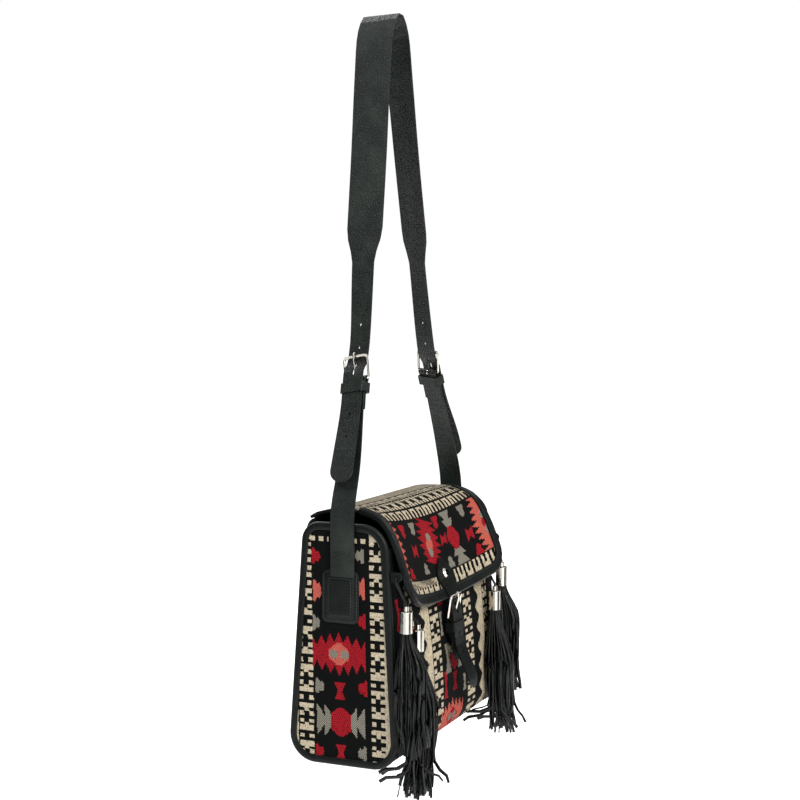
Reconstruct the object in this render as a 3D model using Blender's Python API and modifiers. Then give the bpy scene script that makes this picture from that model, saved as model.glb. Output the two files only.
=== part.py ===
"""A crossbody satchel of patterned cloth with leather trim, hung by its shoulder strap.

Metres, +Z up. X runs across the bag, the front faces -Y, and the origin is the middle of
the flat base. The strap is drawn up as it hangs, and the tassels hang past the base.
"""
import math

import bmesh
import bpy
import numpy as np
from mathutils import Matrix, Vector

# Bag body
WIDTH = 0.290                # across the two side panels, piping included
HEIGHT = 0.240               # base to the top of the side panels
DEPTH_TOP = 0.090
DEPTH_BASE = 0.121
CORNER_BASE = 0.028          # radius of the side panels' lower corners
CORNER_FRONT = 0.028         # upper front corner
CORNER_BACK = 0.020          # upper back corner
CLOTH = 0.0024               # cloth with its lining and board
CLEARANCE = 0.0003           # left between pieces that touch
CURVED_CLEARANCE = 0.0006    # and between pieces that follow a curved cloth

# Piping and its flat leather edge
PIPING_RADIUS = 0.003
EDGE_WIDTH = 0.0105          # piping and flat edge together, on the side panel
EDGE_LEATHER = 0.0012
WRAP_SET_IN = 0.002          # front and back cloth lie this far inside the piping

# Front panel
FRONT_TOP = HEIGHT - 0.025   # height of the mouth's front edge
BULGE = 0.004                # how far the full bag pushes its front out
BULGE_HEIGHT = 0.075
BULGE_REACH = 0.105
PINCH = 0.0160               # how far the mouth's middle is drawn in
PINCH_START = HEIGHT - 0.110

# Flap
HINGE_Y = 0.0440
HINGE_Z = HEIGHT + 0.0015
FLAP_HALF = 0.128
FLAP_CORNER = 0.026
FLAP_THICK = 0.0030
FLAP_LENGTH = 0.1665         # cloth length from the hinge to the lower edge
BINDING_WIDTH = 0.010        # leather on the outside of the flap's edge
BINDING_INSIDE = 0.008       # and on its inside
BINDING_LIP = 0.0014         # leather past the flap's edge
BINDING_START = 0.0474       # distance from the hinge at which the binding starts
# The flap's route from the hinge, as (y, height over the side panels): its middle is drawn
# in, its sides stand off
FLAP_MIDDLE = [(0.0330, 0.0055), (0.0100, 0.0078), (-0.0115, 0.0058), (-0.0255, -0.0050),
               (-0.0335, -0.0260), (-0.0400, -0.0510), (-0.0530, -0.0865)]
FLAP_LEFT = [(0.0330, 0.0068), (0.0100, 0.0100), (-0.0150, 0.0088), (-0.0350, -0.0015),
             (-0.0485, -0.0260), (-0.0570, -0.0510), (-0.0680, -0.0790)]
FLAP_RIGHT = [(0.0330, 0.0055), (0.0100, 0.0070), (-0.0150, 0.0055), (-0.0370, -0.0040),
              (-0.0520, -0.0270), (-0.0625, -0.0515), (-0.0750, -0.0800)]

# Straps and buckles
STRAP_WIDTH = 0.025
STRAP_WIDE = 0.040
STRAP_THICK = 0.0018
WIDE_TOP_Z = 0.527           # the wide part of the shoulder strap ends here
WIDE_END_Z = 0.494           # and the strap is narrow from here down
PATCH_TOP = HEIGHT - 0.0463
PATCH_HEIGHT = 0.052
PATCH_WIDTH = 0.0395
PATCH_Y = 0.0035
PATCH_RIM = 0.0013
PATCH_RELIEF = 0.0018
PATCH_CORNER = 0.006
PATCH_BORDER = 0.0055        # width of the flat rim
PATCH_STEP = 0.0009          # and of the slope up to the raised middle
STRAP_Y = 0.0005
HEEL_Z = 0.378               # height of the strap buckles' heel bars
CHAPE_LENGTH = 0.032         # folded end of a lower strap, below its heel bar
CHAPE_CLOSING = 0.012        # length in which a folded end closes up on its strap
TAIL_LENGTH = 0.110          # strap end below the heel bar
TAIL_STAND = 0.009           # how far a tail's tip stands off
BAR_RADIUS = 0.0012
TOP_BAR_RADIUS = 0.0017
FRAME_HEIGHT = 0.0225
FRAME_SIDE_GAP = 0.0013      # strap edge to the frame's inner side
FRAME_CORNER = 0.003
PRONG_RADIUS = 0.0010
PRONG_PAST = 0.0034          # prong's tip past the top bar
HOLE_RADIUS = 0.0015
HOLE_PITCH = 0.0235
HOLE_AT = 0.0095             # the buckled hole, from the heel bar up
KEEPER_WIDTH = 0.010
KEEPER_THICK = 0.0013
KEEPER_BELOW_HEEL = 0.0045
KEEPER_CORNER = 0.0016
KEEPER_SLACK = 0.0004        # keeper to the strap's edge, with the clearance
TAIL_LIFT = 0.0024           # a short tail's middle, over the lower strap's middle
STRAP_TAIL_LIFT = 0.0040     # the same on the strap buckles, where the strap bows out
# The hanging strap: inward from its sewn end, height, shift back, and turn left and right
STRAP_ARCH = [(0.0, 0.2520, 0.0, 0, 0), (0.0173, 0.2980, 0.001, 9, 12),
              (0.0365, 0.3500, 0.0055, 18, 24), (0.0490, 0.3850, 0.0085, 18, 24),
              (0.0610, 0.4200, 0.0095, 18, 24), (0.0752, 0.5000, 0.0130, 7, 29),
              (0.0950, 0.6000, 0.0165, 4, 29), (0.1100, 0.6850, 0.0195, 3, 26),
              (0.1225, 0.7320, 0.0215, 2, 18)]
STRAP_TOP_Z = 0.752
STRAP_TOP_SHIFT = 0.0225
STRAP_TOP_TURN = 6

# Closure on the flap
LEAF_TOP = 0.0415            # distance of the leaf's tip from the flap's lower edge
LEAF_WIDE = 0.0200           # and of its widest place
LEAF_HALF = 0.021
LIFT_START = 0.010           # above the binding, where the tab starts to climb over it
LIFT_LENGTH = 0.008
CLOSURE_DROP = 0.0228        # from the flap's lower edge down to the heel bar
CLOSURE_TAIL = 0.074
CLOSURE_TAIL_STAND = 0.0125
CLOSURE_HOLE_START = 0.0175  # below the heel bar
CLOSURE_HOLE_PITCH = 0.0190
BACKING_LENGTH = 0.0455
BACKING_CHAPE = 0.018
SNAP_BELOW_HEEL = 0.0320
SNAP_RADIUS = 0.0065
STUD_HEIGHT = 0.0026
SOCKET_HEIGHT = 0.0042
RIVET_RADIUS = 0.0052
RIVET_HEIGHT = 0.0022
RIVET_UP = 0.0245            # from the flap's lower edge

# Tassels: half spacing of the tabs and of the caps, forward place, then the height of the
# tab's hole, of the cap's top and of the strands' ends, each below the bag's height
TASSELS = {"outer": (0.1420, 0.1400, 0.0640, 0.0495, 0.0820, 0.2250),
           "inner": (0.1215, 0.1135, 0.0655, 0.0780, 0.1045, 0.2690)}
CAP_RADIUS = 0.0065
CAP_HEIGHT = 0.021
CAP_WALL = 0.0008
STEM_RADIUS = 0.00275
STEM_HEIGHT = 0.005
LACE_RADIUS = 0.0009
TAB_THICK = 0.0018
TAB_HEIGHT = 0.0100
TAB_HOLE = 0.0016
TAB_REACH = 0.0110
STRANDS_ACROSS = 4
STRANDS_DEEP = 4
STRAND_PITCH_TOP = 0.00185   # strands packed in the cap
STRAND_GAP = 0.00035
STRAND_SPREAD_X = 0.0068     # pitch of the loose ends
STRAND_SPREAD_Y = 0.0050
STRAND_WIDTH = 0.0046
STRAND_DEPTH = 0.0026
STRAND_BLOCK = 0.003         # height of the block that the strands are drawn out of
OPENING_LENGTH = 0.050       # length in which the bunch opens below its cap
FRINGE_BACK_GAP = 0.0012     # between the bunch and the bag's front
FLARE_START = 0.72           # share of the length where the lower tassels' ends spread
FLARE_ACROSS = 0.0018        # and by how much more than the loose pitch
FLARE_DEEP = 0.0030

COLLECTION_NAME = "crossbody_satchel"
LEATHER_BLACK = (0.020, 0.024, 0.023)
NICKEL = (0.72, 0.72, 0.70)

HALF = WIDTH / 2
SLOPE = (DEPTH_BASE - DEPTH_TOP) / 2 / HEIGHT
WRAP_HALF = HALF - 2 * PIPING_RADIUS - CLEARANCE
SIDE_X = HALF + CLEARANCE + STRAP_THICK / 2
STRAP_END_Z = PATCH_TOP + CLEARANCE + STRAP_WIDTH / 2


def clear_scene():
    for obj in list(bpy.data.objects):
        bpy.data.objects.remove(obj, do_unlink=True)


def make_collection(name):
    group = bpy.data.collections.new(name)
    bpy.context.scene.collection.children.link(group)
    return group


clear_scene()
PARTS = make_collection(COLLECTION_NAME)
CUTTERS = make_collection("cutters")


def make_material(name, colour, roughness, metallic):
    material = bpy.data.materials.new(name)
    material.use_nodes = True
    shader = material.node_tree.nodes["Principled BSDF"]
    shader.inputs["Base Color"].default_value = (*colour, 1.0)
    shader.inputs["Roughness"].default_value = roughness
    shader.inputs["Metallic"].default_value = metallic
    return material


def add_part(name, data, colour, roughness=0.55, metallic=0.0, smooth=True):
    obj = bpy.data.objects.new(name, data)
    PARTS.objects.link(obj)
    data.materials.append(make_material(name, colour, roughness, metallic))
    if smooth and isinstance(data, bpy.types.Mesh):
        data.shade_smooth()
        data.set_sharp_from_angle(angle=math.radians(35))
    return obj


def mesh_from(bm, name):
    mesh = bpy.data.meshes.new(name)
    bm.to_mesh(mesh)
    bm.free()
    return mesh


def add_sheet(name, across, along, place, thickness, colour, ring=False, roughness=0.55):
    """A strip or panel: a grid put in place by place(u, v), u -1 to 1, v 0 to 1, made thick."""
    bm = bmesh.new()
    bmesh.ops.create_grid(bm, x_segments=across, y_segments=along, size=1.0)
    for vert in bm.verts:
        vert.co = place(vert.co.x, (vert.co.y + 1) / 2)
    if ring:
        bmesh.ops.remove_doubles(bm, verts=bm.verts, dist=1e-6)
    obj = add_part(name, mesh_from(bm, name), colour, roughness)
    solid = obj.modifiers.new("thickness", "SOLIDIFY")
    solid.thickness = thickness
    solid.offset = 0.0
    solid.use_even_offset = ring
    return obj


def add_loft(name, rings, colour, closed_run, roughness=0.5):
    """Closed sections joined in order, with end caps where the run is open."""
    bm = bmesh.new()
    verts = [[bm.verts.new(p) for p in ring] for ring in rings]
    count = len(rings[0])
    runs = len(rings) if closed_run else len(rings) - 1
    for i in range(runs):
        near, far = verts[i], verts[(i + 1) % len(rings)]
        for k in range(count):
            bm.faces.new((near[k], near[(k + 1) % count], far[(k + 1) % count], far[k]))
    if not closed_run:
        bm.faces.new(verts[0])
        bm.faces.new(verts[-1])
    bmesh.ops.recalc_face_normals(bm, faces=bm.faces)
    return add_part(name, mesh_from(bm, name), colour, roughness)


def add_wire(name, points, radius, colour, radii=None, cyclic=False, metallic=0.0, roughness=0.5):
    """A round bar, lace or frame as a bevelled curve; closed frames have no caps to fill."""
    curve = bpy.data.curves.new(name, "CURVE")
    curve.dimensions = "3D"
    curve.bevel_depth = radius
    curve.bevel_resolution = 2
    curve.use_fill_caps = not cyclic
    spline = curve.splines.new("POLY")
    spline.points.add(len(points) - 1)
    for i, point in enumerate(points):
        spline.points[i].co = (*point, 1.0)
        spline.points[i].radius = radii[i] if radii else 1.0
    spline.use_cyclic_u = cyclic
    return add_part(name, curve, colour, roughness, metallic)


def add_disc(name, centre, axis, radius, height, colour, metallic=0.0, roughness=0.35, top=1.0):
    """A disc or rivet head: a cone frustum from centre along axis."""
    bm = bmesh.new()
    turn = axis.normalized().to_track_quat("Z", "Y").to_matrix().to_4x4()
    place = Matrix.Translation(centre + axis.normalized() * height / 2) @ turn
    bmesh.ops.create_cone(bm, cap_ends=True, segments=20, radius1=radius, radius2=radius * top,
                          depth=height, matrix=place)
    return add_part(name, mesh_from(bm, name), colour, roughness, metallic)


def cut(obj, shapes):
    """Take the joined cutter shapes, each (centre, axes matrix, size or radius, depth), away."""
    bm = bmesh.new()
    for centre, axes, size, depth in shapes:
        place = Matrix.Translation(centre) @ axes.to_4x4()
        if isinstance(size, tuple):
            scale = Matrix.Diagonal((size[0], size[1], depth, 1.0))
            bmesh.ops.create_cube(bm, size=1.0, matrix=place @ scale)
        else:
            bmesh.ops.create_cone(bm, cap_ends=True, segments=12, radius1=size, radius2=size,
                                  depth=depth, matrix=place)
    cutter = bpy.data.objects.new(obj.name + "_cutter", mesh_from(bm, obj.name + "_cutter"))
    CUTTERS.objects.link(cutter)
    cutter.hide_render = True
    cutter.display_type = "WIRE"
    hole = obj.modifiers.new("holes", "BOOLEAN")
    hole.operation = "DIFFERENCE"
    hole.object = cutter


def smooth_route(points, samples):
    """A smooth curve through a few points, as evenly numbered samples (Catmull-Rom)."""
    pts = np.array(points, dtype=float)
    ends = np.vstack([2 * pts[0] - pts[1], pts, 2 * pts[-1] - pts[-2]])
    out = []
    for t in np.linspace(0.0, len(pts) - 1, samples):
        i = min(int(t), len(pts) - 2)
        f = t - i
        a, b, c, d = ends[i:i + 4]
        out.append(0.5 * (2 * b + (c - a) * f + (2 * a - 5 * b + 4 * c - d) * f ** 2
                          + (3 * b - a - 3 * c + d) * f ** 3))
    return np.array(out)


class Route:
    """A curve read by its length."""

    def __init__(self, samples):
        self.samples = samples
        steps = np.linalg.norm(np.diff(samples[:, :3], axis=0), axis=1)
        self.at = np.concatenate([[0.0], np.cumsum(steps)])
        self.length = float(self.at[-1])

    def read(self, run):
        return np.array([np.interp(run, self.at, self.samples[:, k])
                         for k in range(self.samples.shape[1])])

    def direction(self, run):
        step = 0.0015
        low, high = max(run - step, 0.0), min(run + step, self.length)
        return Vector((self.read(high) - self.read(low))[:3]).normalized()

    def find(self, column, value, first_half=True):
        half = len(self.samples) // 2
        rows = slice(0, half) if first_half else slice(half, None)
        gap = np.abs(self.samples[rows, column] - value)
        return float(self.at[rows][int(np.argmin(gap))])


def ease(t):
    t = min(max(t, 0.0), 1.0)
    return t * t * (3 - 2 * t)


# Side outline of the bag


def half_depth(z):
    return DEPTH_BASE / 2 - SLOPE * z


def side_outline(set_in, steps=5):
    """The side panel's outline as (y, z), set in from the piping's outside, corners rounded."""
    inset = np.array([set_in] * 4) if np.isscalar(set_in) else np.array(set_in)
    corners = [(half_depth(0), 0.0), (half_depth(HEIGHT), HEIGHT),
               (-half_depth(HEIGHT), HEIGHT), (-half_depth(0), 0.0)]
    radii = [CORNER_BASE, CORNER_BACK, CORNER_FRONT, CORNER_BASE]
    lines = []
    for k in range(4):
        a, b = np.array(corners[k]), np.array(corners[(k + 1) % 4])
        along = (b - a) / np.linalg.norm(b - a)
        inward = np.array([-along[1], along[0]])
        lines.append((a + inward * inset[k], along))
    out = []
    for k in range(4):
        (p, d), (q, e) = lines[k - 1], lines[k]
        s = np.linalg.solve(np.array([d, -e]).T, q - p)[0]
        corner = p + d * s
        radius = radii[k] - (inset[k - 1] + inset[k]) / 2
        turn = math.acos(float(np.clip(np.dot(d, e), -1, 1)))
        back = radius * math.tan(turn / 2)
        centre = corner - d * back + np.array([-d[1], d[0]]) * radius
        start = math.atan2(*(corner - d * back - centre)[::-1])
        for i in range(steps + 1):
            angle = start + turn * i / steps
            out.append(centre + radius * np.array([math.cos(angle), math.sin(angle)]))
    return out


def front_push(x, z):
    """How far the front panel stands out of its flat plane."""
    middle = 1 - (x / WRAP_HALF) ** 2
    swell = math.cos(math.pi / 2 * min(abs(z - BULGE_HEIGHT) / BULGE_REACH, 1.0)) ** 2
    pinch = ease((z - PINCH_START) / (HEIGHT - PINCH_START))
    return BULGE * middle * swell - PINCH * middle * pinch


def front_face(x, z):
    """y of the front panel's outer face."""
    return -(half_depth(z) - WRAP_SET_IN) - front_push(x, z)


def build_wrap():
    """Front, base and back in one piece of cloth, open at the mouth."""
    outline = side_outline((WRAP_SET_IN, 0.0, WRAP_SET_IN, 0.0), 5)
    front = [p for p in outline if p[0] < 0 and p[1] < HEIGHT / 2]
    back = [p for p in outline if p[0] > 0 and p[1] < HEIGHT / 2]
    top_front = np.array([-(half_depth(FRONT_TOP) - WRAP_SET_IN), FRONT_TOP])
    top_back = np.array([half_depth(HINGE_Z) - WRAP_SET_IN,
                         HINGE_Z - FLAP_THICK / 2 - CLEARANCE])
    profile = [top_front + (front[0] - top_front) * t for t in np.linspace(0, 1, 9)[:-1]]
    profile += front + back
    profile += [back[-1] + (top_back - back[-1]) * t for t in np.linspace(0, 1, 5)[1:]]
    rows = len(profile) - 1

    def place(u, v):
        y, z = profile[round(v * rows)]
        x = u * WRAP_HALF
        if y < 0 and z > 0.001:
            y -= front_push(x, z)
        return Vector((x, y, z))

    obj = add_sheet("body_wrap", 8, rows, place, CLOTH, (0.30, 0.25, 0.20), roughness=0.9)
    obj.modifiers["thickness"].offset = 1.0
    return obj


def build_side(side, label):
    """A side panel and the piping with its flat edge that runs round it."""
    edge = 2 * PIPING_RADIUS + CLEARANCE
    face = HALF - EDGE_LEATHER - CLEARANCE
    inner = face - CLOTH
    outline = side_outline(edge)
    rings = [[Vector((side * x, y, z)) for y, z in outline] for x in (face, inner)]
    add_loft("gusset_" + label, rings, (0.28, 0.10, 0.09), False, 0.9)
    r = PIPING_RADIUS
    section = [(r + r * math.cos(a), r + r * math.sin(a))
               for a in np.radians([40, 80, 120, 160, 200, 235, 270])]
    section += [(EDGE_WIDTH, 0.0), (EDGE_WIDTH, EDGE_LEATHER),
                (r + math.sqrt(r ** 2 - (r - EDGE_LEATHER) ** 2), EDGE_LEATHER)]
    loops = [[Vector((side * (HALF - w), y, z)) for y, z in side_outline(s)]
             for s, w in section]
    rings = [list(ring) for ring in zip(*loops)]
    add_loft("piping_" + label, rings, LEATHER_BLACK, True, 0.4)


# Flap


def flap_route(points):
    over = [(y, HEIGHT + up) for y, up in points]
    samples = smooth_route([(HINGE_Y, HINGE_Z)] + over, 400)
    past_end = samples[-1] + (samples[-1] - samples[-2]) * 100
    samples = np.vstack([samples, past_end])
    return Route(np.column_stack([np.zeros(len(samples)), samples]))


FLAP_ROUTES = {"middle": flap_route(FLAP_MIDDLE), "left": flap_route(FLAP_LEFT),
               "right": flap_route(FLAP_RIGHT)}


def flap_point(x, run):
    """A point of the flap's mid surface, run metres from the hinge."""
    share = min((x / FLAP_HALF) ** 2, 1.3)
    middle = FLAP_ROUTES["middle"].read(run)
    side = FLAP_ROUTES["left" if x < 0 else "right"].read(run)
    _, y, z = middle * (1 - share) + side * share
    return Vector((x, y, z))


def flap_normal(x, run):
    step = 0.002
    along = flap_point(x, run + step) - flap_point(x, max(run - step, 0.0))
    across = flap_point(x + step, run) - flap_point(x - step, run)
    return across.cross(along).normalized() * -1


def flap_rows():
    """Rows from the hinge down: even steps, then finer ones round the lower corners."""
    straight = FLAP_LENGTH - FLAP_CORNER
    rows = [(run, FLAP_HALF) for run in np.linspace(0, straight, 19)]
    for k in range(1, 7):
        a = math.pi / 2 * k / 6
        rows.append((straight + FLAP_CORNER * math.sin(a),
                     FLAP_HALF - FLAP_CORNER * (1 - math.cos(a))))
    return rows


def build_flap():
    rows = flap_rows()

    def place(u, v):
        run, half = rows[round(v * (len(rows) - 1))]
        return flap_point(u * half, run)

    add_sheet("flap_panel", 10, len(rows) - 1, place, FLAP_THICK, (0.24, 0.09, 0.09),
              roughness=0.9)


def binding_section(x, run, inward):
    """The U of leather round the flap's edge at one place; inward is (dx, drun)."""
    h = FLAP_THICK / 2 + CURVED_CLEARANCE
    t = EDGE_LEATHER
    corners = [(BINDING_WIDTH, h), (BINDING_WIDTH, h + t), (0.0, h + t), (-BINDING_LIP, h * 0.9),
               (-BINDING_LIP, -h * 0.9), (0.0, -h - t), (BINDING_INSIDE, -h - t),
               (BINDING_INSIDE, -h), (-CLEARANCE, -h), (-CLEARANCE, h)]
    edge = flap_point(x, run)
    step = 0.001
    inner = flap_point(x + inward[0] * step, run + inward[1] * step)
    outward = (edge - inner).normalized()
    ring = []
    for i, n in corners:
        depth = max(i, 0.0)
        px, pr = x + inward[0] * depth, run + inward[1] * depth
        ring.append(flap_point(px, pr) + flap_normal(px, pr) * n + outward * max(-i, 0.0))
    return ring


def build_binding():
    rows = [row for row in flap_rows() if row[0] >= BINDING_START]
    straight = FLAP_LENGTH - FLAP_CORNER
    stations = []
    for run, half in rows:
        angle = math.asin(min(max((run - straight) / FLAP_CORNER, 0.0), 1.0))
        stations.append((half, run, (-math.cos(angle), -math.sin(angle))))
    bottom = [(u * (FLAP_HALF - FLAP_CORNER), FLAP_LENGTH, (0.0, -1.0))
              for u in np.linspace(1, -1, 11)[1:-1]]
    mirrored = [(-x, run, (-d[0], d[1])) for x, run, d in stations[::-1]]
    rings = [binding_section(*s) for s in stations + bottom + mirrored]
    add_loft("flap_binding", rings, LEATHER_BLACK, False, 0.4)


# A buckle's own axes: t up the strap, w across it, n outward, from the heel bar's strap side


class Axes:
    def __init__(self, origin, up, across):
        self.origin = origin
        self.t = up.normalized()
        self.w = (across - across.dot(self.t) * self.t).normalized()
        self.n = Vector((0, 0, 0))

    def at(self, w, t, n):
        return self.origin + self.w * w + self.t * t + self.n * n

    def matrix(self):
        """Turn from a cutter's own axes to w, t, n, kept right-handed."""
        across = self.t.cross(self.n)
        return Matrix((across, self.t, self.n)).transposed()


HEEL_N = -(STRAP_THICK / 2 + CLEARANCE + BAR_RADIUS)
FOLD_RADIUS = -HEEL_N
TOP_BAR_N = STRAP_THICK / 2 + CLEARANCE + TOP_BAR_RADIUS
FRAME_HALF = STRAP_WIDTH / 2 + FRAME_SIDE_GAP + BAR_RADIUS
SLOT_HALF = PRONG_RADIUS + CLEARANCE * 1.5
CROSSING_GAP = 0.0035        # below the top bar, where the strap starts to come out
CROSSING_LENGTH = 0.014      # strap length in which it crosses to the outside
DRIFT_START = 0.020          # below the heel bar, where a tail starts to stand off
PRONG_SLOT = (0.0035, 0.0155)  # from the heel bar up, as far as the prong slants through
CHAPE_SLOT = (-0.0044, 0.0045)  # round the heel bar, for the prong's curl
THROUGH = 0.016              # a cutter this deep goes through the folded leather


def build_frame(name, axes):
    """A buckle frame cast in one piece: a thick top bar, thin sides and a thin heel bar."""
    corner = FRAME_CORNER
    half, top = FRAME_HALF, FRAME_HEIGHT
    path = []
    for cx, ct, start in ((half - corner, top - corner, 0), (-half + corner, top - corner, 90),
                          (-half + corner, corner, 180), (half - corner, corner, 270)):
        for a in np.radians(np.linspace(start, start + 90, 4)):
            path.append((cx + corner * math.cos(a), ct + corner * math.sin(a)))
    points, radii = [], []
    for w, t in path:
        n = HEEL_N + (TOP_BAR_N - HEEL_N) * t / top
        points.append(axes.at(w, t, n))
        radii.append(1.0 + (TOP_BAR_RADIUS / BAR_RADIUS - 1.0) * ease((t / top - 0.85) / 0.15))
    add_wire(name, points, BAR_RADIUS, NICKEL, radii, True, 1.0, 0.2)


def build_prong(name, axes):
    """The prong curls round the heel bar and rests over the top bar."""
    ring = BAR_RADIUS + PRONG_RADIUS + CLEARANCE / 2
    points = []
    for a in np.radians(np.linspace(-250, 0, 9)):
        points.append(axes.at(0.0, ring * math.sin(a), HEEL_N + ring * math.cos(a)))
    over = TOP_BAR_N + TOP_BAR_RADIUS + PRONG_RADIUS + CLEARANCE / 2
    points.append(axes.at(0.0, 0.003, HEEL_N + ring))
    points.append(axes.at(0.0, FRAME_HEIGHT - 0.0030, over))
    points.append(axes.at(0.0, FRAME_HEIGHT + 0.0010, over + 0.0001))
    points.append(axes.at(0.0, FRAME_HEIGHT + PRONG_PAST, over - 0.0012))
    add_wire(name, points, PRONG_RADIUS, NICKEL, None, False, 1.0, 0.2)


def tail_n(t, length, lift, stand):
    """Height of the outer strap over the lower one: behind the top bar, over the heel, out."""
    crossing = ease((FRAME_HEIGHT - CROSSING_GAP - t) / CROSSING_LENGTH)
    drift = ease((-t - DRIFT_START) / (length - DRIFT_START)) if t < -DRIFT_START else 0.0
    return lift * crossing + stand * drift


def prong_slot(axes):
    """Long hole that lets the prong through the strap at a slant."""
    low, high = PRONG_SLOT
    centre = axes.at(0.0, (low + high) / 2, TAIL_LIFT / 2)
    return centre, axes.matrix(), (2 * SLOT_HALF, high - low), 10 * TAIL_LIFT


def chape_slot(axes):
    """Slot in the folded end, where the prong curls round the heel bar."""
    low, high = CHAPE_SLOT
    centre = axes.at(0.0, (low + high) / 2, HEEL_N)
    return centre, axes.matrix(), (2 * SLOT_HALF, high - low), THROUGH


def fold_run(t_start, chape, count):
    """Stations (t, n) of a strap that goes up to the heel bar, round it and back inside."""
    run = [(t, 0.0) for t in np.linspace(t_start, 0.0, count)]
    for a in np.radians(np.linspace(0, 180, 9))[1:]:
        run.append((FOLD_RADIUS * math.sin(a), HEEL_N + FOLD_RADIUS * math.cos(a)))
    inner = -(STRAP_THICK + CLEARANCE)
    for t in np.linspace(0.0, -chape, 7)[1:]:
        run.append((t, inner + (2 * HEEL_N - inner) * (1 - ease(-t / CHAPE_CLOSING))))
    return run


def build_keeper(name, axes, lift):
    """A leather loop round the folded strap and the tail."""
    low = 2 * HEEL_N - STRAP_THICK / 2 - CLEARANCE - KEEPER_THICK / 2
    high = lift + STRAP_THICK / 2 + CLEARANCE + KEEPER_THICK / 2
    half = STRAP_WIDTH / 2 + CLEARANCE + KEEPER_THICK / 2 + KEEPER_SLACK
    r = KEEPER_CORNER
    path = []
    for cw, cn, start in ((half - r, high - r, 0), (-half + r, high - r, 90),
                          (-half + r, low + r, 180), (half - r, low + r, 270)):
        for a in np.radians(np.linspace(start, start + 90, 4)):
            path.append((cw + r * math.cos(a), cn + r * math.sin(a)))
    count = len(path)
    middle = -KEEPER_BELOW_HEEL - KEEPER_WIDTH / 2

    def place(u, v):
        w, n = path[round(v * count) % count]
        return axes.at(w, middle + u * KEEPER_WIDTH / 2, n)

    add_sheet(name, 1, count, place, KEEPER_THICK, LEATHER_BLACK, ring=True, roughness=0.45)


# Shoulder strap route


def strap_route():
    left_rows = [(-SIDE_X, STRAP_Y, STRAP_END_Z, 0)]
    right_rows = [(SIDE_X, STRAP_Y, STRAP_END_Z, 0)]
    for inward, z, shift, left, right in STRAP_ARCH:
        left_rows.append((-(SIDE_X - inward), STRAP_Y + shift, z, left))
        right_rows.append((SIDE_X - inward, STRAP_Y + shift, z, right))
    top = (0.0, STRAP_Y + STRAP_TOP_SHIFT, STRAP_TOP_Z, STRAP_TOP_TURN)
    return Route(smooth_route(left_rows + [top] + right_rows[::-1], 1400))


STRAP = strap_route()


def strap_axes(side, height):
    """Axes at a distance up one side's strap, from its end at the patch."""
    run = height if side < 0 else STRAP.length - height
    x, y, z, turn = STRAP.read(run)
    along = STRAP.direction(run)
    across = Vector((math.sin(math.radians(turn)), math.cos(math.radians(turn)), 0.0))
    axes = Axes(Vector((x, y, z)), along, across)
    axes.n = axes.t.cross(axes.w)
    if side > 0:
        axes.t = -axes.t
    return axes


def heel_height(side):
    run = STRAP.find(2, HEEL_Z, side < 0)
    return run if side < 0 else STRAP.length - run


def strap_at(side, height, w, n):
    axes = strap_axes(side, height)
    return axes.at(w, 0.0, n)


def lower_strap_width(t_from_end):
    """Half width near the round end at the patch."""
    r = STRAP_WIDTH / 2
    if t_from_end >= r:
        return r
    return math.sqrt(max(r ** 2 - (r - t_from_end) ** 2, (0.12 * r) ** 2))


def build_lower_strap(side, label):
    heel = heel_height(side)
    end = STRAP_WIDTH / 2
    rounded = [(end * (1 - math.cos(a)) - end) for a in np.radians(np.linspace(8, 90, 6))]
    stations = [(t - heel, 0.0) for t in rounded[:-1]]
    stations += fold_run(-heel, CHAPE_LENGTH, 26)
    rows = len(stations) - 1

    def place(u, v):
        t, n = stations[round(v * rows)]
        half = lower_strap_width(t + heel + end) if n == 0.0 else STRAP_WIDTH / 2
        height = heel + t
        if height < 0:
            base = strap_axes(side, 0.0)
            return base.origin + Vector((0, 1, 0)) * u * half + Vector((0, 0, height))
        return strap_at(side, height, u * half, n)

    obj = add_sheet("lower_strap_" + label, 1, rows, place, STRAP_THICK, LEATHER_BLACK)
    cut(obj, [chape_slot(strap_axes(side, heel))])


def shoulder_half_width(run, heel):
    """Half width of the shoulder strap: round tips, narrow ends, wide middle."""
    narrow, wide = STRAP_WIDTH / 2, STRAP_WIDE / 2
    from_tip = min(run - (heel[-1] - TAIL_LENGTH), STRAP.length - heel[1] + TAIL_LENGTH - run)
    if from_tip < narrow:
        return math.sqrt(max(narrow ** 2 - (narrow - from_tip) ** 2, (0.25 * narrow) ** 2))
    z = STRAP.read(run)[2]
    return narrow + (wide - narrow) * ease((z - WIDE_END_Z) / (WIDE_TOP_Z - WIDE_END_Z))


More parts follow.
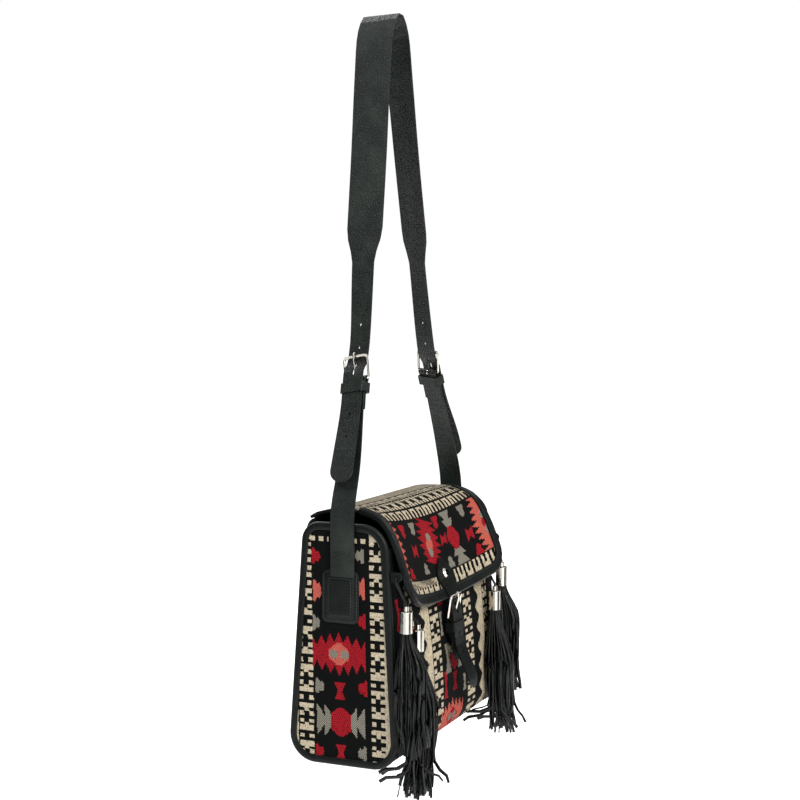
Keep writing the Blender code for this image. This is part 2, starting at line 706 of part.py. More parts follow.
def build_shoulder_strap():
    heel = {-1: heel_height(-1), 1: heel_height(1)}
    start, stop = heel[-1] - TAIL_LENGTH, STRAP.length - heel[1] + TAIL_LENGTH
    tip = [STRAP_WIDTH / 2 * (1 - math.cos(a)) for a in np.radians(np.linspace(14, 90, 5))]
    ends = STRAP_WIDTH / 2
    plain = list(np.linspace(start + ends, heel[-1] - 0.004, 14))[:-1]
    near = list(np.linspace(heel[-1] - 0.004, heel[-1] + FRAME_HEIGHT + 0.004, 13))[:-1]
    far = [STRAP.length - run for run in
           np.linspace(heel[1] + FRAME_HEIGHT + 0.004, heel[1] - 0.004, 13)]
    middle = list(np.linspace(near[-1] + 0.003, far[0] - 0.003, 64))
    last = [STRAP.length - run for run in np.linspace(heel[1] - 0.004,
                                                      heel[1] - TAIL_LENGTH + ends, 14)][1:]
    runs = [start + t for t in tip[:-1]] + plain + near + middle + far + last
    runs += [stop - t for t in tip[:-1][::-1]]
    rows = len(runs) - 1

    def place(u, v):
        run = runs[round(v * rows)]
        side = -1 if run < STRAP.length / 2 else 1
        height = run if side < 0 else STRAP.length - run
        n = tail_n(height - heel[side], TAIL_LENGTH, STRAP_TAIL_LIFT, TAIL_STAND)
        return strap_at(side, height, u * shoulder_half_width(run, heel), n)

    obj = add_sheet("shoulder_strap", 1, rows, place, STRAP_THICK, LEATHER_BLACK)
    shapes = []
    for side in (-1, 1):
        axes = strap_axes(side, heel[side])
        shapes.append(prong_slot(axes))
        for k in (-3, -2, 1, 2):
            t = HOLE_AT + k * HOLE_PITCH
            place_at = strap_axes(side, heel[side] + t)
            centre = place_at.at(0.0, 0.0, tail_n(t, TAIL_LENGTH, STRAP_TAIL_LIFT, TAIL_STAND))
            shapes.append((centre, place_at.matrix(), HOLE_RADIUS, THROUGH / 2))
    cut(obj, shapes)


def build_strap_hardware(side, label):
    axes = strap_axes(side, heel_height(side))
    build_frame("strap_buckle_" + label, axes)
    build_prong("strap_prong_" + label, axes)
    build_keeper("strap_keeper_" + label, axes, STRAP_TAIL_LIFT)


def build_patch(side, label):
    """Leather patch sewn over the strap's end: a flat rim and a raised middle."""
    r = PATCH_CORNER
    low, high = PATCH_TOP - PATCH_HEIGHT, PATCH_TOP
    left, right = PATCH_Y - PATCH_WIDTH / 2, PATCH_Y + PATCH_WIDTH / 2
    outline = []
    for cy, cz, start in ((right - r, high - r, 0), (left + r, high - r, 90),
                          (left + r, low + r, 180), (right - r, low + r, 270)):
        for a in np.radians(np.linspace(start, start + 90, 5)):
            outline.append((cy + r * math.cos(a), cz + r * math.sin(a)))
    base = HALF - EDGE_LEATHER
    bm = bmesh.new()
    face = bm.faces.new([bm.verts.new((side * base, y, z)) for y, z in outline])
    raised = bmesh.ops.extrude_face_region(bm, geom=[face])
    top = [f for f in raised["geom"] if isinstance(f, bmesh.types.BMFace)]
    verts = [v for v in raised["geom"] if isinstance(v, bmesh.types.BMVert)]
    bmesh.ops.translate(bm, verts=verts, vec=(side * PATCH_RIM, 0, 0))
    bmesh.ops.inset_region(bm, faces=top, thickness=PATCH_BORDER, use_even_offset=True)
    bmesh.ops.inset_region(bm, faces=top, thickness=PATCH_STEP, use_even_offset=True)
    bmesh.ops.translate(bm, verts=top[0].verts[:], vec=(side * PATCH_RELIEF, 0, 0))
    bmesh.ops.recalc_face_normals(bm, faces=bm.faces)
    add_part("strap_patch_" + label, mesh_from(bm, "strap_patch_" + label), LEATHER_BLACK)


# Closure


def closure_axes():
    """The buckle hangs below the flap's edge, and leans so that its snap meets the bag."""
    edge = flap_point(0.0, FLAP_LENGTH)
    over = edge + flap_normal(0.0, FLAP_LENGTH) * closure_lift(FLAP_LENGTH)
    lean = 0.0
    for _ in range(8):
        up = Vector((0.0, math.sin(lean), math.cos(lean)))
        axes = Axes(over - up * CLOSURE_DROP, up, Vector((-1.0, 0.0, 0.0)))
        axes.n = axes.t.cross(axes.w)
        lean += (snap_height() - snap_room(axes)) / (CLOSURE_DROP + SNAP_BELOW_HEEL)
    return axes


def snap_height():
    """Both halves of the snap, with the gaps on their faces."""
    return STUD_HEIGHT + SOCKET_HEIGHT + 2 * CLEARANCE


def snap_face(axes):
    """Middle of the snap, a gap off the backing tab's inner face."""
    return axes.at(0.0, -SNAP_BELOW_HEEL, -(STRAP_THICK / 2 + CLEARANCE))


def snap_room(axes):
    """Least room from the snap's face to the bag's front, over the snap's width."""
    room = []
    for dx in (-SNAP_RADIUS, 0.0, SNAP_RADIUS):
        for dt in (-SNAP_RADIUS, 0.0, SNAP_RADIUS):
            spot = snap_face(axes) + axes.t * dt
            room.append((front_face(dx, spot.z) - spot.y) / -axes.n.y)
    return min(room)


def closure_lift(run):
    """Height of the tab over the flap's mid surface: on the cloth, then on the binding."""
    on_cloth = FLAP_THICK / 2 + CLEARANCE + STRAP_THICK / 2
    start = FLAP_LENGTH - BINDING_WIDTH - LIFT_START
    return on_cloth + (EDGE_LEATHER + CURVED_CLEARANCE) * ease((run - start) / LIFT_LENGTH)


CLOSURE = closure_axes()


def leaf_half(run):
    """Half width of the tab: a leaf on the flap, then a plain strap."""
    narrow = STRAP_WIDTH / 2
    up = FLAP_LENGTH - run
    if up > LEAF_WIDE:
        t = (LEAF_TOP - up) / (LEAF_TOP - LEAF_WIDE)
        return LEAF_HALF * max(math.sin(math.pi / 2 * min(max(t, 0), 1)) ** 0.8, 0.10)
    return LEAF_HALF + (narrow - LEAF_HALF) * ease((LEAF_WIDE - up) / LEAF_WIDE)


def build_closure_strap():
    """Leaf tab, buckled strap and tail in one piece of leather."""
    on_flap = [("flap", run) for run in
               list(np.linspace(FLAP_LENGTH - LEAF_TOP, FLAP_LENGTH - LEAF_WIDE, 6))
               + list(np.linspace(FLAP_LENGTH - LEAF_WIDE, FLAP_LENGTH, 8))[1:]]
    top = (CLOSURE.t.dot(flap_point(0.0, FLAP_LENGTH) - CLOSURE.origin))
    below = [("buckle", t) for t in np.linspace(top - 0.003, -0.020, 15)]
    tail_end = CLOSURE_TAIL - STRAP_WIDTH / 2
    below += [("buckle", t) for t in np.linspace(-0.020, -tail_end, 6)[1:]]
    below += [("buckle", -tail_end - STRAP_WIDTH / 2 * math.sin(a))
              for a in np.radians([22, 45, 64, 78])]
    stations = on_flap + below
    rows = len(stations) - 1

    def place(u, v):
        kind, run = stations[round(v * rows)]
        if kind == "flap":
            lift = closure_lift(run)
            x = u * leaf_half(run)
            return flap_point(x, run) + flap_normal(x, run) * lift
        past = -run - (CLOSURE_TAIL - STRAP_WIDTH / 2)
        half = STRAP_WIDTH / 2
        if past > 0:
            half = math.sqrt(max(half ** 2 - past ** 2, 0.0))
        return CLOSURE.at(u * half, run,
                          tail_n(run, CLOSURE_TAIL, TAIL_LIFT, CLOSURE_TAIL_STAND))

    obj = add_sheet("closure_strap", 2, rows, place, STRAP_THICK, LEATHER_BLACK)
    shapes = [prong_slot(CLOSURE)]
    for k in range(3):
        t = -CLOSURE_HOLE_START - k * CLOSURE_HOLE_PITCH
        centre = CLOSURE.at(0.0, t, tail_n(t, CLOSURE_TAIL, TAIL_LIFT, CLOSURE_TAIL_STAND))
        shapes.append((centre, CLOSURE.matrix(), HOLE_RADIUS, THROUGH / 2))
    cut(obj, shapes)


def build_backing():
    """Tab under the tail, folded round the buckle's heel bar."""
    end = STRAP_WIDTH / 2
    stations = [(-BACKING_LENGTH + end * (1 - math.cos(a)), 0.0)
                for a in np.radians([15, 35, 55, 75])]
    stations += fold_run(-BACKING_LENGTH + end, BACKING_CHAPE, 8)
    rows = len(stations) - 1

    def place(u, v):
        t, n = stations[round(v * rows)]
        from_end = t + BACKING_LENGTH
        half = end
        if from_end < end and n == 0.0:
            half = math.sqrt(max(end ** 2 - (end - from_end) ** 2, 0.0))
        return CLOSURE.at(u * half, t, n)

    obj = add_sheet("closure_backing", 1, rows, place, STRAP_THICK, LEATHER_BLACK)
    cut(obj, [chape_slot(CLOSURE)])


def build_snap():
    """Magnetic snap: a stud on the backing tab and a socket on the bag's front."""
    stud = snap_face(CLOSURE)
    add_disc("snap_stud", stud, -CLOSURE.n, SNAP_RADIUS, STUD_HEIGHT, NICKEL, 1.0)
    socket = stud - CLOSURE.n * (STUD_HEIGHT + CLEARANCE)
    add_disc("snap_socket", socket, -CLOSURE.n, SNAP_RADIUS, SOCKET_HEIGHT, NICKEL, 1.0)


def build_rivet():
    run = FLAP_LENGTH - RIVET_UP
    lift = closure_lift(run) + STRAP_THICK / 2 + CLEARANCE
    normal = flap_normal(0.0, run)
    centre = flap_point(0.0, run) + normal * lift
    add_disc("closure_rivet", centre, normal, RIVET_RADIUS, RIVET_HEIGHT, NICKEL, 1.0, 0.25, 0.7)


# Tassels


def tab_seat(kind, x):
    """y of what a tassel's tab is sewn to."""
    hole_z = HEIGHT - TASSELS[kind][3]
    if kind == "outer":
        return -half_depth(hole_z - TAB_HEIGHT / 2)
    return min(front_face(x, hole_z + dz) for dz in (-TAB_HEIGHT / 2, 0.0, TAB_HEIGHT / 2))


def build_tab(name, kind, side):
    """Leather tab with a hole, standing out of the bag's front."""
    x = side * TASSELS[kind][0]
    hole_z = HEIGHT - TASSELS[kind][3]
    seat = tab_seat(kind, x) - CURVED_CLEARANCE
    bm = bmesh.new()
    r = TAB_HEIGHT / 2
    centre = seat - TAB_REACH + r
    outline = [(seat, hole_z - r), (seat, hole_z + r)]
    outline += [(centre - r * math.sin(a), hole_z + r * math.cos(a))
                for a in np.radians(np.linspace(0, 180, 9))]
    face = bm.faces.new([bm.verts.new((x - TAB_THICK / 2, y, z)) for y, z in outline])
    raised = bmesh.ops.extrude_face_region(bm, geom=[face])
    verts = [v for v in raised["geom"] if isinstance(v, bmesh.types.BMVert)]
    bmesh.ops.translate(bm, verts=verts, vec=(TAB_THICK, 0, 0))
    bmesh.ops.recalc_face_normals(bm, faces=bm.faces)
    obj = add_part(name, mesh_from(bm, name), LEATHER_BLACK)
    axes = Matrix.Rotation(math.pi / 2, 3, "Y")
    cut(obj, [(Vector((x, hole_y(kind, x), hole_z)), axes, TAB_HOLE, 4 * TAB_THICK)])


def hole_y(kind, x):
    return tab_seat(kind, x) - CURVED_CLEARANCE - TAB_REACH + TAB_HEIGHT / 2


def cap_top(kind, side):
    _, x, y, _, below, _ = TASSELS[kind]
    return Vector((side * x, -y, HEIGHT - below))


def build_lace(name, kind, side):
    """Lace through the tab's hole, both ends down into the cap's stem."""
    x = side * TASSELS[kind][0]
    hole = Vector((x, hole_y(kind, x), HEIGHT - TASSELS[kind][3]))
    stem = cap_top(kind, side) + Vector((0, 0, STEM_HEIGHT + CLEARANCE))
    out = TAB_THICK / 2 + LACE_RADIUS + CLEARANCE
    low = TAB_HOLE - LACE_RADIUS - CLEARANCE / 2
    leg = LACE_RADIUS + CLEARANCE / 2
    mouth = hole + Vector((0, 0, -low))
    under = hole + Vector((0, 0, -TAB_HEIGHT / 2 - LACE_RADIUS))
    joined = under + (stem - under) * 0.30
    above = stem + Vector((0, 0, 2 * LACE_RADIUS))
    half = [(stem, leg), (above, leg), (joined, leg), (under, out), (mouth, out),
            (mouth + Vector((0, 0, CLEARANCE)), 0.7 * out)]
    points = [p + Vector((-dx, 0, 0)) for p, dx in half]
    points += [p + Vector((dx, 0, 0)) for p, dx in half[::-1]]
    add_wire(name, points, LACE_RADIUS, LEATHER_BLACK)


def build_cap(name, kind, side):
    """Turned metal cap with a stem, hollow below for the strands."""
    r, h, wall = CAP_RADIUS, CAP_HEIGHT, CAP_WALL
    bevel = 0.0006
    profile = [(0.0, STEM_HEIGHT), (STEM_RADIUS, STEM_HEIGHT), (STEM_RADIUS, 0.0),
               (r - bevel, 0.0), (r, -bevel), (r, -h), (r - wall, -h), (r - wall, -wall),
               (0.0, -wall)]
    mesh = bpy.data.meshes.new(name)
    mesh.from_pydata([(x, 0.0, z) for x, z in profile],
                     [(i, i + 1) for i in range(len(profile) - 1)], [])
    obj = add_part(name, mesh, NICKEL, 0.2, 1.0)
    turned = obj.modifiers.new("turned", "SCREW")
    turned.steps = 16
    turned.render_steps = 16
    turned.use_merge_vertices = True
    turned.merge_threshold = 0.00001
    turned.use_smooth_shade = True
    obj.location = cap_top(kind, side)


def strand_opening(depth):
    """How far the bunch has opened at a depth below the cap's top, from 0 to 1."""
    return ease((depth - CAP_HEIGHT * 0.8) / OPENING_LENGTH)


def strand_place(kind, side, i, j, depth, length):
    """Middle of strand i, j at a depth below the fringe's top."""
    top = cap_top(kind, side)
    opened = strand_opening(depth)
    across = i - (STRANDS_ACROSS - 1) / 2
    deep = j - (STRANDS_DEEP - 1) / 2
    pitch_x = STRAND_PITCH_TOP + (STRAND_SPREAD_X - STRAND_PITCH_TOP) * opened
    pitch_y = STRAND_PITCH_TOP + (STRAND_SPREAD_Y - STRAND_PITCH_TOP) * opened
    flare = 0.0
    if kind == "inner":
        flare = ease((depth / length - FLARE_START) / (1 - FLARE_START))
    x = top.x + across * (pitch_x + FLARE_ACROSS * flare)
    back = -half_depth(top.z - depth) - STRAND_DEPTH / 2 - FRINGE_BACK_GAP
    rear = top.y + (STRANDS_DEEP - 1) / 2 * STRAND_PITCH_TOP
    rear += (min(back, rear) - rear) * opened
    y = rear + (deep - (STRANDS_DEEP - 1) / 2) * (pitch_y + FLARE_DEEP * flare)
    return Vector((x, y, top.z - depth))


def build_fringe(name, kind, side):
    """Rolled leather cut into strands: one block in the cap, the strands drawn out of it."""
    roof = CAP_WALL + CLEARANCE
    length = TASSELS[kind][5] - TASSELS[kind][4]
    top = cap_top(kind, side)
    bm = bmesh.new()
    half_x = STRANDS_ACROSS * STRAND_PITCH_TOP / 2
    half_y = STRANDS_DEEP * STRAND_PITCH_TOP / 2
    bmesh.ops.create_grid(bm, x_segments=STRANDS_ACROSS, y_segments=STRANDS_DEEP, size=1.0)
    for vert in bm.verts:
        vert.co = Vector((top.x + vert.co.x * half_x, top.y + vert.co.y * half_y,
                          top.z - roof - STRAND_BLOCK))
    bottom = list(bm.faces)
    block = bmesh.ops.extrude_face_region(bm, geom=bottom)
    upper = [v for v in block["geom"] if isinstance(v, bmesh.types.BMVert)]
    bmesh.ops.translate(bm, verts=upper, vec=(0, 0, STRAND_BLOCK))
    bottom = [f for f in bm.faces if all(abs(v.co.z - (top.z - roof - STRAND_BLOCK)) < 1e-6
                                         for v in f.verts)]
    bmesh.ops.inset_individual(bm, faces=bottom, thickness=STRAND_GAP / 2)
    for face in bottom:
        centre = face.calc_center_median()
        i = round((centre.x - top.x) / STRAND_PITCH_TOP + (STRANDS_ACROSS - 1) / 2)
        j = round((centre.y - top.y) / STRAND_PITCH_TOP + (STRANDS_DEEP - 1) / 2)
        draw_strand(bm, face, kind, side, (i, j), length)
    bmesh.ops.recalc_face_normals(bm, faces=bm.faces)
    add_part(name, mesh_from(bm, name), LEATHER_BLACK, 0.6)


def draw_strand(bm, face, kind, side, index, length):
    """Extrude one strand down in steps, wider once it is out of the cap."""
    for depth in (CAP_HEIGHT * 0.9, CAP_HEIGHT + 0.020, length * 0.66, length):
        face = bmesh.ops.extrude_discrete_faces(bm, faces=[face])["faces"][0]
        target = strand_place(kind, side, *index, depth, length)
        opened = strand_opening(depth)
        small = STRAND_PITCH_TOP - STRAND_GAP
        size_x = small + (STRAND_WIDTH - small) * opened
        size_y = small + (STRAND_DEPTH - small) * opened
        centre = face.calc_center_median()
        for vert in face.verts:
            sign_x = 1 if vert.co.x > centre.x else -1
            sign_y = 1 if vert.co.y > centre.y else -1
            vert.co = target + Vector((sign_x * size_x / 2, sign_y * size_y / 2, 0))


def build_tassels():
    for side, label in ((-1, "left"), (1, "right")):
        for kind in TASSELS:
            ending = kind + "_" + label
            build_tab("tassel_tab_" + ending, kind, side)
            build_lace("tassel_lace_" + ending, kind, side)
            build_cap("tassel_cap_" + ending, kind, side)
            build_fringe("tassel_fringe_" + ending, kind, side)


def build_all():
    build_wrap()
    for side, label in ((-1, "left"), (1, "right")):
        build_side(side, label)
        build_patch(side, label)
        build_lower_strap(side, label)
        build_strap_hardware(side, label)
    build_flap()
    build_binding()
    build_shoulder_strap()
    build_closure_strap()
    build_frame("closure_buckle", CLOSURE)
    build_prong("closure_prong", CLOSURE)
    build_keeper("closure_keeper", CLOSURE, TAIL_LIFT)
    build_backing()
    build_snap()
    build_rivet()
    build_tassels()


build_all()
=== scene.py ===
"""A crossbody satchel of kilim-patterned jacquard with leather trim, dressed over its CAD frame."""

import math

import bmesh
import bpy
import numpy as np
from mathutils import Matrix, Vector


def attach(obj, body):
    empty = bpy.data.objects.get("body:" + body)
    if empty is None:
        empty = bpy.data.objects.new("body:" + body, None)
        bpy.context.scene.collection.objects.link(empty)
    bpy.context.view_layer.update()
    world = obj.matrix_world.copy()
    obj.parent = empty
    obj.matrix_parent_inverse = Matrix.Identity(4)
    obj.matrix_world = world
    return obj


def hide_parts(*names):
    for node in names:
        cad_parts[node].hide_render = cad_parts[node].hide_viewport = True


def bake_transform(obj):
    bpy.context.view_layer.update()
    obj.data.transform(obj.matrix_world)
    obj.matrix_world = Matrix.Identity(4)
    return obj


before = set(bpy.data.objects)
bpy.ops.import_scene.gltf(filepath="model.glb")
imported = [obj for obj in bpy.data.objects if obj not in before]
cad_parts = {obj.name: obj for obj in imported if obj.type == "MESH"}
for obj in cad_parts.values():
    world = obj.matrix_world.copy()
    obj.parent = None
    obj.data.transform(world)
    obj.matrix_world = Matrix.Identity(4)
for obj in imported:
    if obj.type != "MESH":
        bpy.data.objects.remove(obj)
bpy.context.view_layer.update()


# Camera, floor and light. The bag hangs in a white studio, a little over a painted floor.
# The lens and the place of the camera are the ones fitted to the photograph.

CAMERA_PLACE = Vector((-1.5185, -0.6353, 0.4576))
CAMERA_AZIMUTH, CAMERA_HEIGHT_ANGLE, CAMERA_ROLL = (math.radians(a) for a in (-67.22, 3.68, 0.354))
CAMERA_LENS = 70.646
FLOOR_Z, FLOOR_HALF = -0.150, 14.0
FLOOR_SEEN_LIGHT = 0.80
CARD_DISTANCE, CARD_HEIGHT = 1.2, 1.2
CARDS = ((100, 1.05), (160, 1.00), (275, 0.70), (337, 0.70), (23, 0.80))  # degrees, width in m


def linear(hex_colour):
    """An sRGB hex colour as linear RGBA."""
    parts = [int(hex_colour[i:i + 2], 16) / 255 for i in (1, 3, 5)]
    return [c / 12.92 if c <= 0.04045 else ((c + 0.055) / 1.055) ** 2.4 for c in parts] + [1.0]


def add_node(tree, kind, inputs=None, **settings):
    """A node with its settings, and each input set to a value or linked to an output."""
    node = tree.nodes.new(kind)
    for name, value in settings.items():
        setattr(node, name, value)
    for name, value in (inputs or {}).items():
        if isinstance(value, bpy.types.NodeSocket):
            tree.links.new(value, node.inputs[name])
        else:
            node.inputs[name].default_value = value
    return node


def put(name, data):
    """A new object in the scene, unturned at the origin."""
    obj = bpy.data.objects.new(name, data)
    bpy.context.scene.collection.objects.link(obj)
    return obj


def place_camera():
    """The camera looks from its azimuth and height angle, and is rolled a little."""
    a, e, r = CAMERA_AZIMUTH, CAMERA_HEIGHT_ANGLE, CAMERA_ROLL
    back = Vector((math.sin(a) * math.cos(e), -math.cos(a) * math.cos(e), math.sin(e)))
    right = (-back).cross(Vector((0, 0, 1))).normalized()
    up = right.cross(-back)
    across = math.cos(r) * right + math.sin(r) * up
    over = math.cos(r) * up - math.sin(r) * right
    camera = put("camera", bpy.data.cameras.new("camera"))
    turn = Matrix((across, over, back)).transposed().to_4x4()
    camera.matrix_world = Matrix.Translation(CAMERA_PLACE) @ turn
    camera.data.sensor_width = 36.0
    camera.data.lens = CAMERA_LENS
    camera.data.clip_end = 60.0
    bpy.context.scene.camera = camera


def seen_rays(tree):
    """1 for camera, glossy and transmission rays, and 0 for the light that falls on things."""
    path = add_node(tree, "ShaderNodeLightPath")
    seen = add_node(tree, "ShaderNodeMath", {0: path.outputs["Is Camera Ray"],
                                             1: path.outputs["Is Glossy Ray"]}, operation="MAXIMUM")
    seen = add_node(tree, "ShaderNodeMath", {0: seen.outputs[0],
                                             1: path.outputs["Is Transmission Ray"]},
                    operation="MAXIMUM")
    return seen.outputs[0]


def build_stage():
    """The floor and the world: matt white paint that looks pure white and keeps a shadow."""
    paint_coat = bpy.data.materials.new("white_floor_paint")
    paint_coat.use_nodes = True
    tree = paint_coat.node_tree
    tree.nodes.clear()
    matt = add_node(tree, "ShaderNodeBsdfDiffuse", {"Color": linear("#f4f4f3")})
    amount = add_node(tree, "ShaderNodeMath", {0: seen_rays(tree), 1: FLOOR_SEEN_LIGHT},
                      operation="MULTIPLY")
    white = add_node(tree, "ShaderNodeEmission", {"Color": (1, 1, 1, 1),
                                                  "Strength": amount.outputs[0]})
    mixed = add_node(tree, "ShaderNodeAddShader", {0: matt.outputs[0], 1: white.outputs[0]})
    add_node(tree, "ShaderNodeOutputMaterial", {"Surface": mixed.outputs[0]})
    mesh = bpy.data.meshes.new("floor")
    mesh.from_pydata([(x * FLOOR_HALF, y * FLOOR_HALF, FLOOR_Z)
                      for x, y in ((-1, -1), (1, -1), (1, 1), (-1, 1))], [], [(0, 1, 2, 3)])
    mesh.materials.append(paint_coat)
    put("floor", mesh)

    world = bpy.data.worlds.new("studio")
    world.use_nodes = True
    tree = world.node_tree
    tree.nodes.clear()
    soft = add_node(tree, "ShaderNodeBackground", {"Color": linear("#eff1f1"), "Strength": 0.40})
    white = add_node(tree, "ShaderNodeBackground", {"Color": (1, 1, 1, 1), "Strength": 1.0})
    mixed = add_node(tree, "ShaderNodeMixShader", {0: seen_rays(tree), 1: soft.outputs[0],
                                                   2: white.outputs[0]})
    add_node(tree, "ShaderNodeOutputWorld", {"Surface": mixed.outputs[0]})
    bpy.context.scene.world = world


def add_soft_light(name, place, target, size, power, colour):
    """A large square lamp turned towards a point."""
    lamp = bpy.data.lights.new(name, "AREA")
    lamp.shape = "RECTANGLE"
    lamp.size, lamp.size_y = size
    lamp.energy = power
    lamp.color = linear(colour)[:3]
    obj = put(name, lamp)
    turn = (Vector(target) - Vector(place)).to_track_quat("-Z", "Y").to_matrix().to_4x4()
    obj.matrix_world = Matrix.Translation(Vector(place)) @ turn


def new_material(name):
    """A material with its tree and its shader."""
    material = bpy.data.materials.new(name)
    material.use_nodes = True
    return material, material.node_tree, material.node_tree.nodes["Principled BSDF"]


def add_dark_cards():
    """Black felt cards round the set, seen only in gloss: dark streaks in the nickel."""
    black, _, shader = new_material("black_felt_card")
    shader.inputs["Base Color"].default_value = linear("#050505")
    shader.inputs["Roughness"].default_value = 1.0
    shader.inputs["Specular IOR Level"].default_value = 0.0
    up = Vector((0, 0, CARD_HEIGHT))
    for count, (azimuth, width) in enumerate(CARDS):
        a = math.radians(azimuth)
        foot = Vector((math.cos(a), math.sin(a), 0)) * CARD_DISTANCE + Vector((0, 0, FLOOR_Z))
        across = Vector((-math.sin(a), math.cos(a), 0)) * width / 2
        mesh = bpy.data.meshes.new("dark_card")
        mesh.from_pydata([foot - across, foot + across, foot + across + up, foot - across + up],
                         [], [(0, 1, 2, 3)])
        mesh.materials.append(black)
        card = put(f"dark_card_{count}", mesh)
        card.visible_camera = card.visible_diffuse = card.visible_shadow = False


place_camera()
build_stage()
add_dark_cards()
add_soft_light("key_softbox", (-1.3, -1.8, 1.7), (0, 0, 0.20), (0.9, 0.9), 70, "#fffaf4")
add_soft_light("side_softbox", (-2.0, 0.5, 2.1), (0, 0, 0.20), (0.8, 0.8), 18, "#f3f7ff")
add_soft_light("back_softbox", (1.6, 1.6, 1.7), (0, 0, 0.30), (1.4, 1.4), 34, "#ffffff")
bpy.context.scene.view_settings.view_transform = "Standard"


# Body: one run of jacquard makes the front, the base and the back. Black, cream, red, coral
# and grey cotton yarns are woven in a kilim pattern, over a board and a black lining, whose
# black is partly painted shade for the mouth. The sizes here are in metres and are those of
# the CAD, and the patterns are drawn in mm.

BLACK_YARN, CREAM_YARN, RED_YARN, CORAL_YARN, GREY_YARN = range(5)
YARNS = [linear(c)[:3] for c in ("#080a0a", "#c8bca4", "#a01c27", "#c96356", "#989488")]
HALF = 0.145
HEIGHT = 0.240
DEPTH_TOP, DEPTH_BASE = 0.090, 0.121
SLOPE = (DEPTH_BASE - DEPTH_TOP) / 2 / HEIGHT
PIPING_RADIUS = 0.003
CLEARANCE = 0.0003
CLOTH = 0.0024
WRAP_HALF = HALF - 2 * PIPING_RADIUS - CLEARANCE
WRAP_SET_IN = 0.002
FRONT_TOP, BACK_CORNER = 0.215, 0.012
SWELL, SWELL_Z, SWELL_REACH = 0.004, 0.075, 0.105
DRAWN_IN, DRAWN_FROM_Z, DRAWN_OVER = 0.016, 0.130, 0.110
FLAP_THICK = 0.0030
HINGE_Y, HINGE_Z = 0.0440, 0.2415
THREAD_STEP, THREADS_ACROSS = 0.00165, 190


def ease(t):
    """A smooth rise from 0 to 1."""
    t = np.clip(t, 0.0, 1.0)
    return t * t * (3 - 2 * t)


def half_depth(z):
    """Half the bag's depth at a height: it tapers to its mouth."""
    return DEPTH_BASE / 2 - SLOPE * z


def front_push(x, z):
    """How far the full bag pushes its front out, and how far the mouth is drawn in."""
    middle = 1 - (x / WRAP_HALF) ** 2
    swell = np.cos(math.pi / 2 * np.minimum(np.abs(z - SWELL_Z) / SWELL_REACH, 1.0)) ** 2
    drawn = ease((z - DRAWN_FROM_Z) / DRAWN_OVER)
    return SWELL * middle * swell - DRAWN_IN * middle * drawn


def side_outline(inset, steps=10):
    """The side panel's outline as (y, z), set in on its four sides, with round corners."""
    inset = np.broadcast_to(inset, 4)
    corners = np.array([(half_depth(0), 0.0), (half_depth(HEIGHT), HEIGHT),
                        (-half_depth(HEIGHT), HEIGHT), (-half_depth(0), 0.0)])
    radii = [0.028, 0.020, 0.028, 0.028]
    lines = []
    for k in range(4):
        along = corners[(k + 1) % 4] - corners[k]
        along /= np.linalg.norm(along)
        lines.append((corners[k] + np.array([-along[1], along[0]]) * inset[k], along))
    out = []
    for k in range(4):
        (p, d), (q, e) = lines[k - 1], lines[k]
        s = np.linalg.solve(np.array([d, -e]).T, q - p)[0]
        corner = p + d * s
        radius = radii[k] - (inset[k - 1] + inset[k]) / 2
        turn = math.acos(float(np.clip(np.dot(d, e), -1, 1)))
        back = radius * math.tan(turn / 2)
        centre = corner - d * back + np.array([-d[1], d[0]]) * radius
        start = math.atan2(*(corner - d * back - centre)[::-1])
        for i in range(steps + 1):
            angle = start + turn * i / steps
            out.append(centre + radius * np.array([math.cos(angle), math.sin(angle)]))
    return np.array(out)


def comb_band(a, b, width):
    """Bars, stems and pairs of squares in cream along a band, as in a comb weave."""
    b = b % 38.2
    edges = (a < width * 0.31) | (a > width * 0.69)
    stem = np.abs(a - width / 2) < width * 0.17
    cream = np.zeros(a.shape, bool)
    for start, size, kind in ((0, 4.9, 0), (4.9, 2.4, 1), (7.3, 4.0, 2), (14.9, 4.4, 2),
                              (19.3, 3.2, 1), (22.5, 4.9, 0), (30.6, 4.0, 2)):
        row = (b >= start) & (b < start + size)
        cream |= row & (True if kind == 0 else stem if kind == 1 else edges)
    return cream & (a >= 0) & (a <= width)


def toothed_star(p, q, half, height, teeth):
    """A wide star whose two ends are rows of pointed teeth, longest near the middle."""
    tooth = np.abs((np.abs(p) * teeth / half + 0.5) % 1.0 - 0.5) * 2
    edge = height * (1 - 0.30 * np.abs(p) / half) - 0.44 * height * tooth
    return (np.abs(p) < half) & (np.abs(q) < edge)


def hexagon(p, q, half, height):
    """Flat in its middle and sloped off to both sides."""
    cut = 0.8 * np.maximum(np.abs(p) - half * 0.2, 0)
    return (np.abs(p) < half) & (np.abs(q) < height - cut)


def hourglass(p, q, half, height):
    """Two bars joined by a waist."""
    return (np.abs(q) < height) & (np.abs(p) < half * (0.42 + 0.58 * (np.abs(q) / height) ** 1.2))


def half_arrow(p, q, width, height):
    """Wide at p = 0, with two teeth that run to a point at p = width."""
    share = np.clip(p / width, 0, 1)
    notch = 0.25 * height * (np.abs(share * 2 % 1 - 0.5) * 2)
    return (p >= 0) & (p < width) & (np.abs(q) < height * (1 - 0.55 * share) - notch)


def paint(index, mask, yarn):
    """This yarn shows where the mask is true, over what was there."""
    index[mask] = yarn


